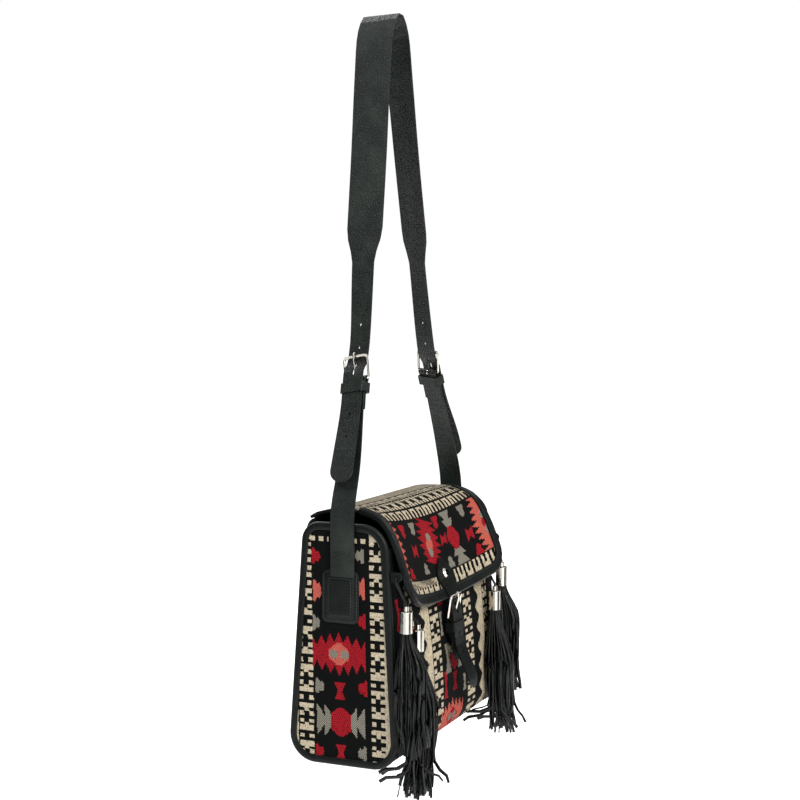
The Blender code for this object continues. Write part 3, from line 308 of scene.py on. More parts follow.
def yarn_colours(index, rng):
    """Yarn numbers as colours, each thread a little lighter or darker than the next.

    Black warp shows between the coloured wefts as a fine twill, and as specks in the cream.
    """
    rows, cols = index.shape
    i, j = np.arange(rows)[:, None], np.arange(cols)[None, :]
    speckle = rng.random(index.shape)
    out = np.array(YARNS)[index]
    out[(index == GREY_YARN) & ((i + j) % 2 == 0)] *= 0.30
    out[(index == CORAL_YARN) & ((i + 2 * j) % 3 == 0)] *= 0.50
    out[(index == RED_YARN) & ((i + 2 * j) % 4 == 0)] *= 0.45
    out[(index == RED_YARN) & (speckle < 0.10)] *= 0.6
    out[(index == CREAM_YARN) & (speckle < 0.22)] *= 0.62
    return np.clip(out * (0.90 + 0.2 * rng.random(index.shape))[..., None], 0, 1)


def front_pattern(x, z):
    """The front's upright bands, in mm, about x = 13: comb bands, zigzags and figures."""
    index = np.zeros(x.shape, int)
    p, q = x - 13.0, z
    side = np.abs(p)
    paint(index, comb_band(side - 36.5, q + 8, 23.0), CREAM_YARN)
    tooth = np.abs(((q - 88.0) / 21.5 + 0.5) % 1.0 - 0.5) * 2
    paint(index, (p < 0) & (side > 60.0) & (side < 71.0 + 12.5 * tooth), CREAM_YARN)
    paint(index, (p > 0) & (side > 86.0 - 12.0 * tooth) & (side < 99.0), CREAM_YARN)
    paint(index, comb_band(side - 100.5, q + 27, 13.0), CREAM_YARN)
    for cq in (150.0, 60.0):
        paint(index, hourglass(side - 133, q - cq, 9, 15), RED_YARN)
    paint(index, hourglass(side - 133, q - 105, 8, 12), GREY_YARN)
    for cp, cq, half, height, yarn in ((-29, 57, 5, 14, RED_YARN), (-3, 57, 7, 10, RED_YARN),
                                       (-27, 148, 8, 7, RED_YARN), (8, 148, 8, 7, RED_YARN),
                                       (-31, 122, 4, 12, GREY_YARN), (26, 50, 5, 9, GREY_YARN),
                                       (24, 122, 5, 11, GREY_YARN)):
        paint(index, hourglass(p - cp, q - cq, half, height), yarn)
    for sign in (-1, 1):
        paint(index, hourglass(sign * (p + 3) - 17, q - 84, 8, 15), GREY_YARN)
    paint(index, hexagon(p + 3, q - 82, 11, 13), RED_YARN)
    paint(index, hexagon(p + 3, q - 120, 10, 12), RED_YARN)
    paint(index, toothed_star(p + 11, q - 19, 31, 22, 3), CORAL_YARN)
    paint(index, hexagon(p + 11, q - 20, 15, 10), RED_YARN)
    paint(index, hexagon(np.abs(p + 11) - 6, q - 20, 5, 5), GREY_YARN)
    paint(index, comb_band(q + 14, p + 200, 13), CREAM_YARN)
    return index


def base_and_back_pattern(x, run):
    """Comb stripes and plain bands across the base and up the back, run in mm."""
    index = np.zeros(x.shape, int)
    row = run % 96.0
    paint(index, comb_band(row - 6, x + 190, 16), CREAM_YARN)
    paint(index, (row > 26) & (row < 36 + 7 * (np.abs(x / 20 % 1 - 0.5) * 2)), CREAM_YARN)
    centre = row - 66
    for k in range(-2, 3):
        shift = x - 62.0 * k
        paint(index, toothed_star(centre, shift, 22, 18, 2), RED_YARN if k % 2 else CORAL_YARN)
        paint(index, hexagon(centre, shift, 9, 8), GREY_YARN if k % 2 else RED_YARN)
        paint(index, hourglass(centre, shift - 31, 6, 8), GREY_YARN)
    return index


def cloth_panel(name, points, flat, colours, thickness, material):
    """A woven panel: a grid of points, its flat size as UV in metres, and a yarn colour.

    The points are its outer face. Its thickness goes inwards, and its inside is lined.
    """
    rows, cols = points.shape[:2]
    mesh = bpy.data.meshes.new(name)
    grid = np.arange(rows * cols).reshape(rows, cols)
    quads = np.stack([grid[:-1, :-1], grid[:-1, 1:], grid[1:, 1:], grid[1:, :-1]], -1)
    quads = quads.reshape(-1, 4)
    mesh.from_pydata(points.reshape(-1, 3), [], quads.tolist())
    uv = mesh.uv_layers.new(name="cloth")
    uv.data.foreach_set("uv", flat.reshape(-1, 2)[quads.ravel()].astype(np.float32).ravel())
    thread = mesh.color_attributes.new("yarn", "FLOAT_COLOR", "CORNER")
    rgba = np.concatenate([colours.reshape(-1, 3), np.ones((len(quads), 1))], 1)
    thread.data.foreach_set("color", np.repeat(rgba, 4, axis=0).astype(np.float32).ravel())
    mesh.shade_smooth()
    mesh.materials.append(material)
    obj = put(name, mesh)
    solid = obj.modifiers.new("cloth thickness", "SOLIDIFY")
    solid.thickness = thickness
    solid.offset = -1.0
    solid.material_offset = solid.material_offset_rim = 1
    mesh.materials.append(LINING_WITH_MOUTH_SHADE)
    return obj


def centres(grid):
    """The middle of each face of a grid of values."""
    return (grid[:-1, :-1] + grid[1:, :-1] + grid[:-1, 1:] + grid[1:, 1:]) / 4


def jacquard_material(name):
    """Woven jacquard: matt cotton, in which the eye sees ribs of weft over a fine warp.

    The real ribs are about 0.5 mm apart; they are drawn 1.1 mm apart so that they show.
    The colour is darker in the weave's grooves, partly from the black warp and partly as
    painted shade, and paler on the rib tops as a painted highlight.
    """
    material, tree, shader = new_material(name)
    yarn = add_node(tree, "ShaderNodeAttribute", attribute_name="yarn")
    place = add_node(tree, "ShaderNodeUVMap", uv_map="cloth")
    ribs = add_node(tree, "ShaderNodeTexWave", {"Vector": place.outputs[0], "Scale": 286.0,
                                                "Distortion": 1.2, "Detail": 1.0},
                    wave_type="BANDS", bands_direction="Y")
    warp = add_node(tree, "ShaderNodeTexWave", {"Vector": place.outputs[0], "Scale": 380.0,
                                                "Distortion": 0.8, "Detail": 1.0},
                    wave_type="BANDS", bands_direction="X")
    fuzz = add_node(tree, "ShaderNodeTexNoise", {"Vector": place.outputs[0], "Scale": 1400.0,
                                                 "Detail": 3.0})
    weave = add_node(tree, "ShaderNodeMath", {0: ribs.outputs["Fac"], 1: warp.outputs["Fac"]},
                     operation="MULTIPLY")
    height = add_node(tree, "ShaderNodeMath", {0: weave.outputs[0], 1: fuzz.outputs["Fac"]},
                      operation="ADD")
    # Painted shade and highlight: the yarn colour is multiplied by 0.78 in the grooves, partly the
    # black warp and partly painted shade, up to 1.12 on the rib tops as a painted highlight; the
    # fuzz adds random tone.
    shade = add_node(tree, "ShaderNodeMapRange", {"Value": height.outputs[0], "From Min": 0.3,
                                                  "From Max": 1.4, "To Min": 0.78,
                                                  "To Max": 1.12})
    colour = add_node(tree, "ShaderNodeMix", {0: 1.0, 6: yarn.outputs["Color"],
                                              7: shade.outputs[0]},
                      data_type="RGBA", blend_type="MULTIPLY")
    tree.links.new(colour.outputs[2], shader.inputs["Base Color"])
    rough = add_node(tree, "ShaderNodeMapRange", {"Value": fuzz.outputs["Fac"], "To Min": 0.78,
                                                  "To Max": 0.95})
    tree.links.new(rough.outputs[0], shader.inputs["Roughness"])
    shader.inputs["Specular IOR Level"].default_value = 0.08
    bump = add_node(tree, "ShaderNodeBump", {"Height": height.outputs[0], "Strength": 0.55,
                                             "Distance": 0.0005})
    tree.links.new(bump.outputs[0], shader.inputs["Normal"])
    return material


def lining_material():
    """Plain cotton twill glued to the board, a little dusty: black, partly its own colour and
    partly painted shade, so that the bag's mouth reads dark.
    """
    material, tree, shader = new_material("black_lining_with_painted_mouth_shade")
    place = add_node(tree, "ShaderNodeTexCoord").outputs["Object"]
    twill = add_node(tree, "ShaderNodeTexWave", {"Vector": place, "Scale": 260.0,
                                                 "Distortion": 1.0},
                     wave_type="BANDS", bands_direction="DIAGONAL")
    dust = add_node(tree, "ShaderNodeTexNoise", {"Vector": place, "Scale": 60.0, "Detail": 4.0})
    tone = add_node(tree, "ShaderNodeMix", {0: dust.outputs["Fac"], 6: linear("#101112"),
                                            7: linear("#1d1e20")}, data_type="RGBA")
    tree.links.new(tone.outputs[2], shader.inputs["Base Color"])
    shader.inputs["Roughness"].default_value = 0.92
    shader.inputs["Specular IOR Level"].default_value = 0.15
    bump = add_node(tree, "ShaderNodeBump", {"Height": twill.outputs["Fac"], "Strength": 0.4,
                                             "Distance": 0.0003})
    tree.links.new(bump.outputs[0], shader.inputs["Normal"])
    return material


JACQUARD = jacquard_material("woven_jacquard")
LINING_WITH_MOUTH_SHADE = lining_material()


def build_body():
    """Down the front, under the base and up the back, swollen in front, drawn in at the mouth."""
    outline = side_outline([WRAP_SET_IN, 0.0, WRAP_SET_IN, 0.0], 10)
    front = [p for p in outline if p[0] < 0 and p[1] < HEIGHT / 2]
    back = [p for p in outline if p[0] > 0 and p[1] < HEIGHT / 2]
    top_front = np.array([-(half_depth(FRONT_TOP) - WRAP_SET_IN), FRONT_TOP])
    top_back = np.array([half_depth(HINGE_Z) - WRAP_SET_IN, HINGE_Z - FLAP_THICK / 2 - CLEARANCE])
    corners = np.array([top_front, *front, *back, top_back])
    run = np.concatenate([[0], np.cumsum(np.linalg.norm(np.diff(corners, axis=0), axis=1))])
    rows = np.append(np.arange(0, run[-1], THREAD_STEP), run[-1])
    y, z = (np.interp(rows, run, corners[:, k]) for k in (0, 1))
    x = np.linspace(-WRAP_HALF, WRAP_HALF, THREADS_ACROSS)
    xx, yy = np.meshgrid(x, y)
    zz, rr = np.meshgrid(x, z)[1], np.meshgrid(x, rows)[1]
    yy = np.where((yy < 0) & (zz > 0.001), yy - front_push(xx, zz), yy)
    over = np.where(rr > run[-1] / 2, np.maximum(zz - z[-1] + BACK_CORNER, 0), 0)
    xx = xx * (1 - (BACK_CORNER - np.sqrt(BACK_CORNER ** 2 - over ** 2)) / WRAP_HALF)
    points = np.stack([xx, yy, zz], -1)
    px, pz, pr = centres(xx) * 1000, centres(zz) * 1000, centres(rr) * 1000
    fold = run[1 + len(front)] * 1000
    on_front = pr < fold
    bend = pr[on_front & (pz > 24)].max()
    height = np.where(pz > 24, pz, 24 - (pr - bend))
    index = np.where(on_front, front_pattern(px, height), base_and_back_pattern(px, pr - fold))
    # Painted shade: the back's cloth above 205 mm, under the flap's hinge, is woven all black to
    # stand for the shade that falls there.
    index[~on_front & (pz > 205)] = BLACK_YARN
    colours = yarn_colours(index, np.random.default_rng(11))
    panel = cloth_panel("body_cloth", points[::-1], np.stack([xx, rr], -1)[::-1], colours[::-1],
                        CLOTH, JACQUARD)
    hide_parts("body_wrap")
    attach(panel, "bag")


build_body()


# Side panels: the same jacquard, tapered and round at its corners, with upright comb bands
# and red figures between them. Each is sewn in under its piping.


EDGE_LEATHER = 0.0012  # thickness of the flat leather edges that the cloth is sewn to


def side_pattern(p, q):
    """Figures of a side panel in mm: p from its middle to the back, q up from the base."""
    p = p + 0.0225 * (215 - q) - 4.5
    index = np.zeros(p.shape, int)
    paint(index, comb_band(p - 31.5, q + 6.5, 15.5), CREAM_YARN)
    paint(index, comb_band(-31.0 - p, q + 25.6, 14.5), CREAM_YARN)
    paint(index, (p < -45.5) | (p > 48.5), CREAM_YARN)
    paint(index, (q > 221) & (q < 226) & (np.abs(p) > 12) & (p % 9.0 < 5.0), CREAM_YARN)
    for foot, cq, width, height, yarn in (
            (31, 206, 9.5, 9.5, RED_YARN), (-25, 209, 9, 8.5, GREY_YARN),
            (30, 172, 9, 13, CORAL_YARN), (-26, 177, 9, 13, CORAL_YARN),
            (31, 140, 8, 9.5, GREY_YARN), (-26, 145, 8, 9, RED_YARN),
            (29, 77.5, 9.5, 9, GREY_YARN), (-27, 79, 10, 9.5, RED_YARN),
            (30, 12, 9, 9, RED_YARN), (-25, 14.5, 9, 9, GREY_YARN)):
        paint(index, half_arrow((p - foot) * -np.sign(foot), q - cq, width, height), yarn)
    star_p, star_q = p - 3, q - 110.5
    paint(index, toothed_star(star_p, star_q, 28.5, 22, 3), RED_YARN)
    paint(index, hexagon(star_p, star_q, 11, 11), CORAL_YARN)
    paint(index, hexagon(np.abs(star_p) - 5.8, star_q, 4.4, 4.8), GREY_YARN)
    paint(index, hourglass(p - 2.5, q - 74, 6.0, 8.5), RED_YARN)
    for sign in (-1, 1):
        wing = sign * (p - 2) - 9
        spikes = np.abs(q - 44) < 3 + 12.5 * ((wing / 17.0 * 2 % 1) ** 0.8)
        paint(index, (wing > 0) & (wing < 17) & spikes, GREY_YARN)
    paint(index, hexagon(p - 2, q - 43.5, 11, 14.5), RED_YARN)
    paint(index, hourglass(p - 2.5, q - 13, 6.0, 8.0), RED_YARN)
    paint(index, hexagon(p - 2, q - 180, 13, 16), RED_YARN)
    return index


def build_side_panel(side, label):
    """Rows of threads between the panel's front and back edges."""
    outline = side_outline(2 * PIPING_RADIUS + CLEARANCE, 16)
    z = np.linspace(outline[:, 1].min() + 1e-5, outline[:, 1].max() - 1e-5, 200)
    back = outline[outline[:, 0] > 0]
    front = outline[outline[:, 0] < 0]
    back, front = (s[np.argsort(s[:, 1], kind="stable")] for s in (back, front))
    high, low = np.interp(z, back[:, 1], back[:, 0]), np.interp(z, front[:, 1], front[:, 0])
    share = np.linspace(0, 1, 96)
    yy = low[:, None] + (high - low)[:, None] * share
    if side > 0:
        yy = yy[:, ::-1]
    zz = np.broadcast_to(z[:, None], yy.shape)
    face = HALF - EDGE_LEATHER - CLEARANCE
    points = np.stack([np.full(yy.shape, side * face), yy, zz], -1)[:, ::-1]
    yy, zz = points[..., 1], points[..., 2]
    index = side_pattern(centres(yy) * 1000, centres(zz) * 1000)
    colours = yarn_colours(index, np.random.default_rng(12 + side))
    panel = cloth_panel("side_cloth_" + label, points, np.stack([yy, zz], -1), colours, CLOTH,
                        JACQUARD)
    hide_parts("gusset_" + label)
    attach(panel, "bag")


for side, label in ((-1, "left"), (1, "right")):
    build_side_panel(side, label)


# Piping: a strip of smooth black cowhide folded over a cord and sewn round each side panel,
# with the flat edge that it is sewn by. The tassels' tabs are cut from the same hide.


def leather_material(name, colour, worn, grain_size, grain, roughness, shine):
    """Dyed cowhide: grain cells of a real size in mm, darker in their furrows, worn paler."""
    material, tree, shader = new_material(name)
    place = add_node(tree, "ShaderNodeTexCoord").outputs["Object"]
    cells = add_node(tree, "ShaderNodeTexVoronoi", {"Vector": place, "Scale": 1000 / grain_size,
                                                    "Randomness": 0.95},
                     feature="DISTANCE_TO_EDGE")
    furrow = add_node(tree, "ShaderNodeMapRange", {"Value": cells.outputs["Distance"],
                                                   "From Max": 0.22})
    pores = add_node(tree, "ShaderNodeTexNoise", {"Vector": place, "Scale": 900.0, "Detail": 4.0})
    hide = add_node(tree, "ShaderNodeTexNoise", {"Vector": place, "Scale": 45.0, "Detail": 3.0})
    height = add_node(tree, "ShaderNodeMath", {0: pores.outputs["Fac"], 1: 0.25,
                                               2: furrow.outputs[0]}, operation="MULTIPLY_ADD")
    fade = add_node(tree, "ShaderNodeMapRange", {"Value": hide.outputs["Fac"], "From Min": 0.42,
                                                 "From Max": 0.72})
    base = add_node(tree, "ShaderNodeMix", {0: fade.outputs[0], 6: linear(colour),
                                            7: linear(worn)}, data_type="RGBA")
    tree.links.new(base.outputs[2], shader.inputs["Base Color"])
    gloss = add_node(tree, "ShaderNodeMapRange", {"Value": pores.outputs["Fac"],
                                                  "To Min": roughness - 0.07,
                                                  "To Max": roughness + 0.10})
    tree.links.new(gloss.outputs[0], shader.inputs["Roughness"])
    shader.inputs["Specular IOR Level"].default_value = shine
    bump = add_node(tree, "ShaderNodeBump", {"Height": height.outputs[0], "Strength": grain,
                                             "Distance": 0.0006})
    tree.links.new(bump.outputs[0], shader.inputs["Normal"])
    return material


# Finished cowhide: nearly smooth and almost black, with a soft, low gloss.
TRIM_LEATHER = leather_material("smooth_black_cowhide", "#080c0b", "#0f1514", 1.1, 0.20, 0.34, 0.16)


def dress(node, material):
    """A CAD node keeps its shape and gets this finish."""
    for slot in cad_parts[node].material_slots:
        slot.material = material


def loft(name, rings, closed_run, material):
    """Closed sections joined in order, smooth, with end caps where the run is open."""
    rings = np.array(rings)
    count, size = rings.shape[:2]
    faces = []
    for i in range(count if closed_run else count - 1):
        a, b = i * size, (i + 1) % count * size
        for k in range(size):
            faces.append((a + k, a + (k + 1) % size, b + (k + 1) % size, b + k))
    if not closed_run:
        faces += [tuple(range(size)), tuple(range(len(rings) * size - size, len(rings) * size))]
    mesh = bpy.data.meshes.new(name)
    mesh.from_pydata(rings.reshape(-1, 3), [], faces)
    bm = bmesh.new()
    bm.from_mesh(mesh)
    bmesh.ops.recalc_face_normals(bm, faces=bm.faces)
    bm.to_mesh(mesh)
    bm.free()
    mesh.shade_smooth()
    mesh.set_sharp_from_angle(angle=math.radians(40))
    mesh.materials.append(material)
    return put(name, mesh)


def build_piping(side, label):
    """Its section, as inset from the side's outline and from its face, swept round the side."""
    r, width, thick = PIPING_RADIUS, 0.0078, EDGE_LEATHER
    section = [(r + r * math.cos(a), r + r * math.sin(a))
               for a in np.radians(np.linspace(40, 270, 15))]
    section += [(width - 0.0005, 0.0), (width, 0.0004), (width, thick),
                (r + math.sqrt(r ** 2 - (r - thick) ** 2), thick)]
    loops = [[(side * (HALF - w), y, z) for y, z in side_outline(s, 14)] for s, w in section]
    rings = [list(ring) for ring in zip(*loops)]
    piece = loft("piping_leather_" + label, rings, True, TRIM_LEATHER)
    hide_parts("piping_" + label)
    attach(piece, "bag")


for side, label in ((-1, "left"), (1, "right")):
    build_piping(side, label)
    for node in ("tassel_tab_outer_" + label, "tassel_tab_inner_" + label):
        dress(node, TRIM_LEATHER)


# Flap: the same jacquard over a board, bent over the mouth and drawn in at its middle by
# the buckle. Its edge is bound in folded cowhide, of which the buckle tab is cut too. The
# lines are the CAD's: (y, height over the bag's top) at its middle and at its two edges.

FLAP_HALF, FLAP_CORNER, FLAP_LENGTH = 0.128, 0.026, 0.1665
FLAP_LINES = {
    "middle": [(0.0330, 0.0055), (0.0100, 0.0078), (-0.0115, 0.0058), (-0.0255, -0.0050),
               (-0.0335, -0.0260), (-0.0400, -0.0510), (-0.0530, -0.0865)],
    "left": [(0.0330, 0.0068), (0.0100, 0.0100), (-0.0150, 0.0088), (-0.0350, -0.0015),
             (-0.0485, -0.0260), (-0.0570, -0.0510), (-0.0680, -0.0790)],
    "right": [(0.0330, 0.0055), (0.0100, 0.0070), (-0.0150, 0.0055), (-0.0370, -0.0040),
              (-0.0520, -0.0270), (-0.0625, -0.0515), (-0.0750, -0.0800)]}


def smooth_route(points, samples):
    """A smooth curve through the points."""
    pts = np.array(points, dtype=float)
    ends = np.vstack([2 * pts[0] - pts[1], pts, 2 * pts[-1] - pts[-2]])
    out = []
    for t in np.linspace(0.0, len(pts) - 1, samples):
        i = min(int(t), len(pts) - 2)
        f = t - i
        a, b, c, d = ends[i:i + 4]
        out.append(0.5 * (2 * b + (c - a) * f + (2 * a - 5 * b + 4 * c - d) * f ** 2
                          + (3 * b - a - 3 * c + d) * f ** 3))
    return np.array(out)


def flap_line(points):
    """Lengths and places along one of the flap's lines, from the hinge down."""
    line = smooth_route([(HINGE_Y, HINGE_Z)] + [(y, HEIGHT + up) for y, up in points], 400)
    line = np.vstack([line, line[-1] + (line[-1] - line[-2]) * 100])
    at = np.concatenate([[0], np.cumsum(np.linalg.norm(np.diff(line, axis=0), axis=1))])
    return at, line


FLAP_READ = {name: flap_line(points) for name, points in FLAP_LINES.items()}


def flap_point(x, run):
    """Points of the flap's middle surface, run metres from the hinge."""
    x, run = np.broadcast_arrays(np.asarray(x, float), np.asarray(run, float))
    share = np.minimum((x / FLAP_HALF) ** 2, 1.3)
    place = {}
    for name, (at, line) in FLAP_READ.items():
        place[name] = np.stack([np.interp(run, at, line[:, k]) for k in (0, 1)], -1)
    side = np.where((x < 0)[..., None], place["left"], place["right"])
    yz = place["middle"] * (1 - share)[..., None] + side * share[..., None]
    return np.concatenate([x[..., None], yz], -1)


def flap_normal(x, run):
    """The flap's outward direction."""
    step = 0.002
    along = flap_point(x, run + step) - flap_point(x, np.maximum(run - step, 0))
    across = flap_point(x + step, run) - flap_point(x - step, run)
    normal = np.cross(along, across)
    return normal / np.linalg.norm(normal, axis=-1, keepdims=True)


def flap_edge_half(run):
    """Half width of the flap, round at its lower corners."""
    past = np.clip(run - (FLAP_LENGTH - FLAP_CORNER), 0, FLAP_CORNER)
    return FLAP_HALF - FLAP_CORNER + np.sqrt(FLAP_CORNER ** 2 - past ** 2)


def flap_pattern(x, run):
    """The flap's figures in mm, x across, run down from the hinge."""
    index = np.zeros(x.shape, int)
    paint(index, (run < 36) & (x % 5.2 < 2.6), CREAM_YARN)
    paint(index, (run >= 38) & (run < 49) & (x % 9.0 < 4.2), CREAM_YARN)
    paint(index, (run >= 38) & (run < 41) & (x % 18.0 < 9.0), CREAM_YARN)
    paint(index, comb_band(run - 51, x + 190, 15), CREAM_YARN)
    paint(index, (run >= 68) & (run < 79) & (x % 9.0 < 4.2), CREAM_YARN)
    paint(index, (run >= 68) & (run < 71) & (x % 18.0 < 9.0), CREAM_YARN)
    for cx in (-124, 120):
        paint(index, toothed_star(run - 111, x - cx, 30, 28, 4), CORAL_YARN)
        paint(index, hexagon(run - 112, x - cx, 7, 8), RED_YARN)
        paint(index, hexagon(np.abs(run - 112) - 9, x - cx, 5, 6), GREY_YARN)
    paint(index, toothed_star(run - 106 - 0.25 * (x + 15), x + 15, 23, 31, 3), RED_YARN)
    paint(index, hexagon(run - 109, x + 15, 11, 9), CORAL_YARN)
    paint(index, hexagon(np.abs(run - 109) - 8, x + 15, 4.5, 6), GREY_YARN)
    spine = x - 48 - 0.25 * (run - 111)
    for sign, reach in ((-1, 13), (1, 14)):
        wing = sign * (run - 111)
        paint(index, (wing > 11) & (wing < 30)
              & (np.abs(spine) < 5 + (reach - 5) * ((wing - 11) / 19 * 2 % 1)), GREY_YARN)
    paint(index, hexagon(run - 111, spine, 13, 13), RED_YARN)
    for cx, cr, half, height, yarn in ((25, 109, 6.5, 7, RED_YARN), (84, 116, 8, 7.5, RED_YARN),
                                       (-62, 112, 7, 7, RED_YARN)):
        paint(index, hourglass(run - cr, x - cx, half, height), yarn)
    for cx, cr, yarn in ((-84, 84, RED_YARN), (14, 82, RED_YARN), (82, 82, GREY_YARN),
                         (-52, 82, GREY_YARN)):
        paint(index, half_arrow(run - cr, x - cx, 14, 10), yarn)
    for cx, cr, yarn in ((28, 140, GREY_YARN), (-42, 138, GREY_YARN), (92, 142, RED_YARN),
                         (-94, 140, RED_YARN)):
        paint(index, half_arrow(cr - run, x - cx, 12, 9), yarn)
    fine = (run > 143) & (run < 149)
    paint(index, fine & (x < -20) & (x % 4.0 < 2.0), CREAM_YARN)
    paint(index, (run >= 143) & (x % 9.0 < 4.2) & ((x > -20) | (run >= 149)), CREAM_YARN)
    paint(index, (run >= 152) & (x % 18.0 < 13.2), CREAM_YARN)
    return index


def build_flap():
    """The woven panel of the flap, its threads set closer where it narrows."""
    run = np.linspace(0, FLAP_LENGTH, 128)
    half = flap_edge_half(run)
    share = np.linspace(-1, 1, 196)
    xx = half[:, None] * share
    rr = np.broadcast_to(run[:, None], xx.shape)
    points = flap_point(xx, rr) + flap_normal(xx, rr) * FLAP_THICK / 2
    index = flap_pattern(centres(xx) * 1000, centres(rr) * 1000)
    colours = yarn_colours(index, np.random.default_rng(21))
    panel = cloth_panel("flap_cloth", points[:, ::-1], np.stack([xx, rr], -1)[:, ::-1],
                        colours[:, ::-1], FLAP_THICK, JACQUARD)
    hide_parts("flap_panel")
    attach(panel, "flap")


def build_hinge_tape():
    """Cotton tape glued inside along the fold, from the back panel to the flap, in the lining's
    black, which is partly painted shade at the mouth.
    """
    across, half, thick = 64, 0.1270, 0.0006
    glued = thick + CLEARANCE
    x = np.linspace(-half, half, across)
    rows = []
    for z in np.linspace(0.2290, 0.2388, 11):
        wall = half_depth(z) - WRAP_SET_IN - CLOTH - glued
        rows.append(np.stack([x, np.full(across, wall), np.full(across, z)], -1))
    for run in np.linspace(0.0035, 0.0140, 9):
        under = flap_normal(x, np.full(across, run)) * (FLAP_THICK / 2 + glued)
        rows.append(flap_point(x, run) - under)
    points = np.array(rows)
    steps = np.linalg.norm(np.diff(points[:, across // 2], axis=0), axis=1)
    along = np.concatenate([[0], np.cumsum(steps)])
    flat = np.stack(np.meshgrid(x, along), -1)
    black = np.zeros((len(rows) - 1, across - 1, 3))
    tape = cloth_panel("hinge_tape", points, flat, black, thick, LINING_WITH_MOUTH_SHADE)
    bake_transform(tape)


build_flap()
build_hinge_tape()
for node in ("flap_binding", "closure_backing", "closure_strap", "closure_keeper"):
    dress(node, TRIM_LEATHER)


# Shoulder strap, lower straps and their keepers: pebbled cowhide, cut flat and punched. The
# strap's ends go down through the buckles and back under the keepers.

# Milled cowhide: a grey-green black with soft pebbles that catch the light.
STRAP_LEATHER = leather_material("pebbled_black_cowhide", "#121815", "#222925", 2.3, 0.42, 0.38,
                                 0.24)
for node in ("shoulder_strap", "lower_strap_left", "lower_strap_right", "strap_keeper_left",
             "strap_keeper_right"):
    dress(node, STRAP_LEATHER)


# Buckles, prongs, rivet, snap and tassel caps: nickel-plated zinc and brass, cast or
# turned and polished, bright with fine handling marks.


def nickel_material():
    """Polished nickel plate: a bright, slightly warm mirror with fine smears in its gloss."""
    material, tree, shader = new_material("polished_nickel_plate")
    place = add_node(tree, "ShaderNodeTexCoord").outputs["Object"]
    smear = add_node(tree, "ShaderNodeTexNoise", {"Vector": place, "Scale": 160.0, "Detail": 4.0})
    tint = add_node(tree, "ShaderNodeMix", {0: smear.outputs["Fac"], 6: linear("#d6d2c8"),
                                            7: linear("#c4c0b8")}, data_type="RGBA")
    tree.links.new(tint.outputs[2], shader.inputs["Base Color"])
    gloss = add_node(tree, "ShaderNodeMapRange", {"Value": smear.outputs["Fac"], "To Min": 0.07,
                                                  "To Max": 0.20})
    tree.links.new(gloss.outputs[0], shader.inputs["Roughness"])
    shader.inputs["Metallic"].default_value = 1.0
    return material


NICKEL = nickel_material()
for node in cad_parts:
    if any(word in node for word in ("buckle", "prong", "rivet", "snap", "cap")):
        dress(node, NICKEL)


# Tassels: a strip of thin leather cut into strands, rolled and pressed into a turned cap,
# hung from a tab by a lace. The strands are flat and curl a little at their ends.

# Thin lambskin: black, finely creased, with a satin gleam along each strand.
STRAND_LEATHER = leather_material("thin_black_lambskin", "#070b0a", "#101716", 2.2, 0.30, 0.34,
                                  0.26)
# For each kind: how far out, how far forward, the top inside its cap, the strands' lower end.
TASSELS = {"outer": (0.1400, 0.0640, 0.1580, 0.0150), "inner": (0.1135, 0.0655, 0.1355, -0.0290)}
CAP_HEIGHT = 0.021
STRAND_COUNT, STRAY_COUNT, STRAND_POINTS = 52, 9, 18
STRAND_WIDTH, STRAND_THICKNESS = 0.0035, 0.0008
STRANDS_FORWARD, STRANDS_LOW = -0.100, -0.034  # no strand reaches past these, in y and z


def new_tree(name, sizes, material):
    """A geometry nodes tree with its sizes and its material as named inputs."""
    tree = bpy.data.node_groups.new(name, "GeometryNodeTree")
    for socket, kind in [("Geometry", "Geometry")] + [(s, "Float") for s in sizes] + [
            (material, "Material")]:
        tree.interface.new_socket(socket, in_out="INPUT", socket_type="NodeSocket" + kind)
    tree.interface.new_socket("Geometry", in_out="OUTPUT", socket_type="NodeSocketGeometry")
    return tree, add_node(tree, "NodeGroupInput")


def ribbon_tree():
    """Geometry nodes: a flat ribbon of leather along each curve."""
    tree, start = new_tree("leather_strands", ("Strand width", "Strand thickness"), "Leather")
    section = add_node(tree, "GeometryNodeCurvePrimitiveQuadrilateral",
                       {"Width": start.outputs["Strand width"],
                        "Height": start.outputs["Strand thickness"]})
    ribbon = add_node(tree, "GeometryNodeCurveToMesh", {0: start.outputs["Geometry"],
                                                        1: section.outputs[0], "Fill Caps": True})
    real = add_node(tree, "GeometryNodeRealizeInstances", {0: ribbon.outputs[0]})
    leather = add_node(tree, "GeometryNodeSetMaterial", {0: real.outputs[0],
                                                         "Material": start.outputs["Leather"]})
    add_node(tree, "NodeGroupOutput", {0: leather.outputs[0]})
    return tree


def grown(obj, tree, values, name):
    """The object after a geometry nodes tree with these inputs, as a plain mesh."""
    modifier = obj.modifiers.new("nodes", "NODES")
    modifier.node_group = tree
    for item in tree.interface.items_tree:
        if item.in_out == "INPUT" and item.name in values:
            modifier[item.identifier] = values[item.name]
    evaluated = obj.evaluated_get(bpy.context.evaluated_depsgraph_get())
    mesh = bpy.data.meshes.new_from_object(evaluated)
    mesh.name = name
    bpy.data.objects.remove(obj)
    return put(name, mesh)


def curves_object(name, lines, tilts=None):
    """Lines of points as one curve object, each point turned by its tilt."""
    curve = bpy.data.curves.new(name, "CURVE")
    curve.dimensions = "3D"
    curve.twist_mode = "Z_UP"
    for index, line in enumerate(lines):
        spline = curve.splines.new("POLY")
        spline.points.add(len(line) - 1)
        spline.points.foreach_set("co", np.c_[line, np.ones(len(line))].ravel())
        if tilts is not None:
            spline.points.foreach_set("tilt", tilts[index])
    return put(name, curve)


STRANDS = ribbon_tree()


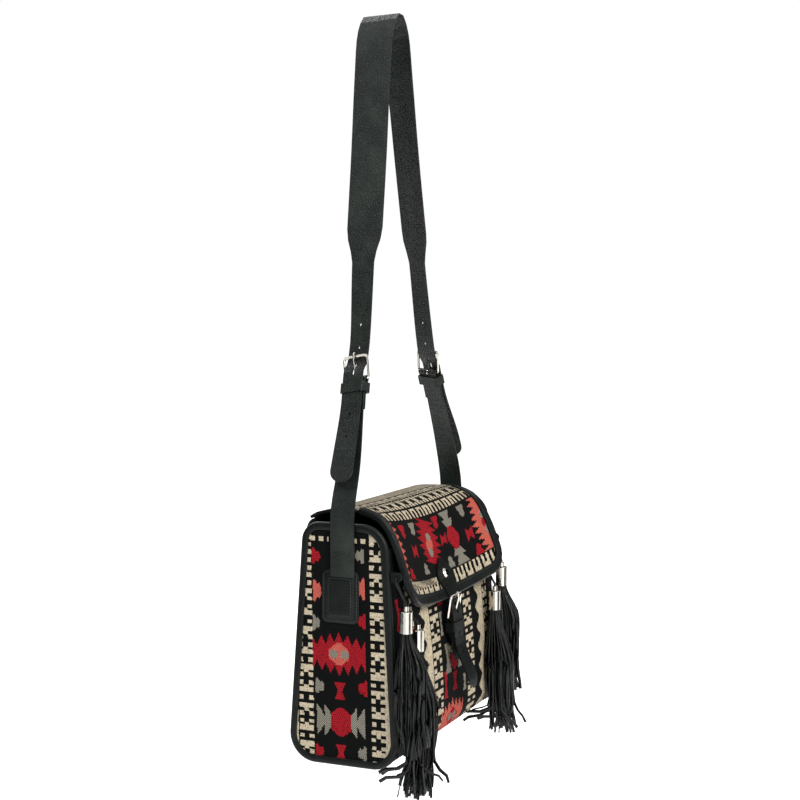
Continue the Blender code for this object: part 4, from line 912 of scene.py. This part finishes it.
def strand_line(kind, side, rng, share, angle, stray):
    """One strand from inside its cap: opens, hangs by the bag's front, curls at its end."""
    x, forward, top, end = TASSELS[kind]
    inner = kind == "inner"
    packed, spread = 0.0044, 0.0190 if inner else 0.0185
    length = top - end - 0.0005 - rng.random() * 0.012
    depth = np.linspace(0.0012, length, STRAND_POINTS)
    opened = ease((depth - CAP_HEIGHT * 0.85) / (0.065 if inner else 0.042))
    late = np.clip((depth / length - 0.45) / 0.55, 0, 1) ** 1.6
    radius = (packed + (spread - packed) * opened) * share
    sway = 0.0022 * np.sin(depth * (45 + 25 * rng.random()) + rng.random() * 6.3) * opened
    px = side * x + radius * math.cos(angle) + sway
    py = -forward + radius * math.sin(angle) * 0.80 - 0.006 * opened + sway * 0.6
    pz = top - depth
    if inner:
        px = px + side * 0.016 * late
    curl = (rng.random(2) - 0.5) * 0.012
    if stray and inner:
        flick = 0.040 if stray > 0 else -0.022
        curl = np.array([-side * 0.012, flick]) * (0.6 + 0.5 * rng.random())
    tip = ease((depth / length - 0.80) / 0.20)
    px, py = px + curl[0] * tip, py + curl[1] * tip
    pz = pz + np.abs(curl).sum() * 0.32 * tip ** 2
    wall = -half_depth(np.clip(pz, 0, HEIGHT)) - 0.0016
    py = np.minimum(py, np.where(pz > 0.006, wall, 0.1))
    return np.stack([px, np.maximum(py, STRANDS_FORWARD), np.maximum(pz, STRANDS_LOW)], -1)


def build_fringe(kind, side, label, seed):
    """Some fifty strands, packed in the cap, that open into a bunch and end unevenly."""
    rng = np.random.default_rng(seed)
    golden_angle = 2.39996
    lines, tilts = [], []
    for k in range(STRAND_COUNT):
        share = math.sqrt((k + 0.5) / STRAND_COUNT)
        stray = (1 if k % 2 else -1) if k >= STRAND_COUNT - STRAY_COUNT else 0
        lines.append(strand_line(kind, side, rng, share, k * golden_angle, stray))
        tilts.append(np.linspace(0, rng.random() * 2.4 - 1.2, STRAND_POINTS) + rng.random() * 3.14)
    strands = curves_object("strand_lines", lines, tilts)
    piece = grown(strands, STRANDS,
                  {"Strand width": STRAND_WIDTH, "Strand thickness": STRAND_THICKNESS,
                   "Leather": STRAND_LEATHER}, f"tassel_strands_{kind}_{label}")
    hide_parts(f"tassel_fringe_{kind}_{label}")
    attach(piece, f"tassel_{kind}_{label}")
    dress(f"tassel_lace_{kind}_{label}", STRAND_LEATHER)


for seed, (kind, side, label) in enumerate((("outer", -1, "left"), ("inner", -1, "left"),
                                            ("outer", 1, "right"), ("inner", 1, "right"))):
    build_fringe(kind, side, label, 40 + seed)


# Patches on the side panels: smooth cowhide sewn over the end of each strap, pressed down
# round it, with a double row of waxed thread. The strap goes in under the raised middle.

PATCH_LOW, PATCH_TOP, PATCH_Y, PATCH_HALF = 0.1417, 0.1937, 0.0035, 0.01975
STRAP_Y, STRAP_HALF, SIDE_X = 0.0005, 0.0125, 0.1462
# Waxed thread: near-black, coloured a little paler than the hide it is sewn through as a painted
# sheen, and duller.
WAXED_THREAD_PAINTED_SHEEN = leather_material("waxed_black_thread_painted_sheen", "#2a3231", "#3a4442", 0.6, 0.30, 0.45, 0.20)


def stitch_tree():
    """Geometry nodes: a lock stitch at each step along a line."""
    tree, start = new_tree("lock_stitches", ("Stitch pitch", "Stitch length", "Thread thickness"),
                           "Thread")
    points = add_node(tree, "GeometryNodeCurveToPoints",
                      {"Curve": start.outputs["Geometry"],
                       "Length": start.outputs["Stitch pitch"]}, mode="LENGTH")
    bead = add_node(tree, "GeometryNodeMeshUVSphere", {"Segments": 6, "Rings": 5, "Radius": 0.5})
    size = add_node(tree, "ShaderNodeCombineXYZ", {0: start.outputs["Thread thickness"],
                                                   1: start.outputs["Thread thickness"],
                                                   2: start.outputs["Stitch length"]})
    stitch = add_node(tree, "GeometryNodeTransform", {"Geometry": bead.outputs[0],
                                                      "Scale": size.outputs[0]})
    row = add_node(tree, "GeometryNodeInstanceOnPoints",
                   {"Points": points.outputs["Points"], "Instance": stitch.outputs[0],
                    "Rotation": points.outputs["Rotation"]})
    real = add_node(tree, "GeometryNodeRealizeInstances", {0: row.outputs[0]})
    smooth = add_node(tree, "GeometryNodeSetShadeSmooth", {0: real.outputs[0]})
    thread = add_node(tree, "GeometryNodeSetMaterial", {0: smooth.outputs[0],
                                                        "Material": start.outputs["Thread"]})
    add_node(tree, "NodeGroupOutput", {0: thread.outputs[0]})
    return tree


STITCHES = stitch_tree()
THREAD_THICK = 0.0007


def sew(name, lines, body, pitch=0.0030, length=0.0023, thickness=THREAD_THICK):
    """Rows of stitches along lines of points, as one piece that rides on a body."""
    piece = grown(curves_object(name + "_lines", lines), STITCHES,
                  {"Stitch pitch": pitch, "Stitch length": length,
                   "Thread thickness": thickness, "Thread": WAXED_THREAD_PAINTED_SHEEN}, name)
    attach(piece, body)
    return piece


def round_rectangle(low_y, high_y, low_z, high_z, radius, steps=6):
    """A rectangle with round corners, as a loop of (y, z)."""
    out = []
    left, right, low, high = low_y + radius, high_y - radius, low_z + radius, high_z - radius
    for cy, cz, start in ((right, high, 0), (left, high, 90), (left, low, 180), (right, low, 270)):
        for a in np.radians(np.linspace(start, start + 90, steps)):
            out.append((cy + radius * math.cos(a), cz + radius * math.sin(a)))
    return out


def build_patch(side, label):
    """Rings from its edge to its raised middle, as (inset from the edge, height), then sewn."""
    base = HALF - EDGE_LEATHER
    rings = []
    for inset, lift in ((0, 0), (0, 0.0009), (0.0005, 0.0013), (0.0048, 0.0013), (0.0056, 0.0016),
                        (0.0062, 0.0026), (0.0070, 0.0030), (0.0120, 0.0031)):
        top = PATCH_TOP - inset * (0.9 if inset > 0.004 else 1)
        outline = round_rectangle(PATCH_Y - PATCH_HALF + inset, PATCH_Y + PATCH_HALF - inset,
                                  PATCH_LOW + inset, top, max(0.006 - inset * 0.7, 0.0016))
        rings.append([(side * (base + lift), y, z) for y, z in outline])
    piece = loft("strap_patch_leather_" + label, rings, False, TRIM_LEATHER)
    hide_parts("strap_patch_" + label)
    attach(piece, "bag")
    rows = []
    for inset, lift in ((0.0021, 0.0014), (0.0078, 0.0032)):
        outline = round_rectangle(PATCH_Y - PATCH_HALF + inset, PATCH_Y + PATCH_HALF - inset,
                                  PATCH_LOW + inset, PATCH_TOP - inset, 0.003)
        rows.append([(side * (base + lift), y, z) for y, z in outline + outline[:1]])
    sew("patch_stitches_" + label, rows, "bag")


def build_strap_root(side, label):
    """The strap's last stretch, straight down to where the patch is sewn over it."""
    heights = np.linspace(PATCH_TOP - 0.0062, 0.2185, 22)
    thick = 0.0011
    section = [(-STRAP_HALF - 0.0002, -thick * 0.7), (-STRAP_HALF - 0.0002, thick * 0.7),
               (-STRAP_HALF + 0.0005, thick), (STRAP_HALF - 0.0005, thick),
               (STRAP_HALF + 0.0002, thick * 0.7), (STRAP_HALF + 0.0002, -thick * 0.7),
               (STRAP_HALF - 0.0005, -thick), (-STRAP_HALF + 0.0005, -thick)]
    rings = [[(side * (SIDE_X + n), STRAP_Y + w, z) for w, n in section] for z in heights]
    piece = loft("strap_root_" + label, rings, False, STRAP_LEATHER)
    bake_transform(piece)


for side, label in ((-1, "left"), (1, "right")):
    build_patch(side, label)
    build_strap_root(side, label)


# Stitches of the flap's binding: one row of the same waxed thread, sewn through the folded
# cowhide and the cloth, a little in from the binding's inner edge.


CURVED_CLEARANCE = 0.0006


def binding_row(inset):
    """A line on the binding, inset from the flap's edge, down one side and up the other."""
    level = FLAP_THICK / 2 + CURVED_CLEARANCE + EDGE_LEATHER + 0.0001
    run = np.concatenate([np.linspace(0.052, FLAP_LENGTH - FLAP_CORNER, 40),
                          FLAP_LENGTH - FLAP_CORNER
                          + (FLAP_CORNER - inset) * np.sin(np.linspace(0.05, math.pi / 2, 16))])
    angle = np.arcsin(np.clip((run - (FLAP_LENGTH - FLAP_CORNER)) / (FLAP_CORNER - inset), 0, 1))
    half = FLAP_HALF - FLAP_CORNER + (FLAP_CORNER - inset) * np.cos(angle)
    bottom = np.linspace(-half[-1], half[-1], 60)[1:-1]
    x = np.concatenate([-half, bottom, half[::-1]])
    rr = np.concatenate([run, np.full(len(bottom), run[-1]), run[::-1]])
    return flap_point(x, rr) + flap_normal(x, rr) * level


sew("binding_stitches", [binding_row(0.0078)], "flap", 0.0034, 0.0026)
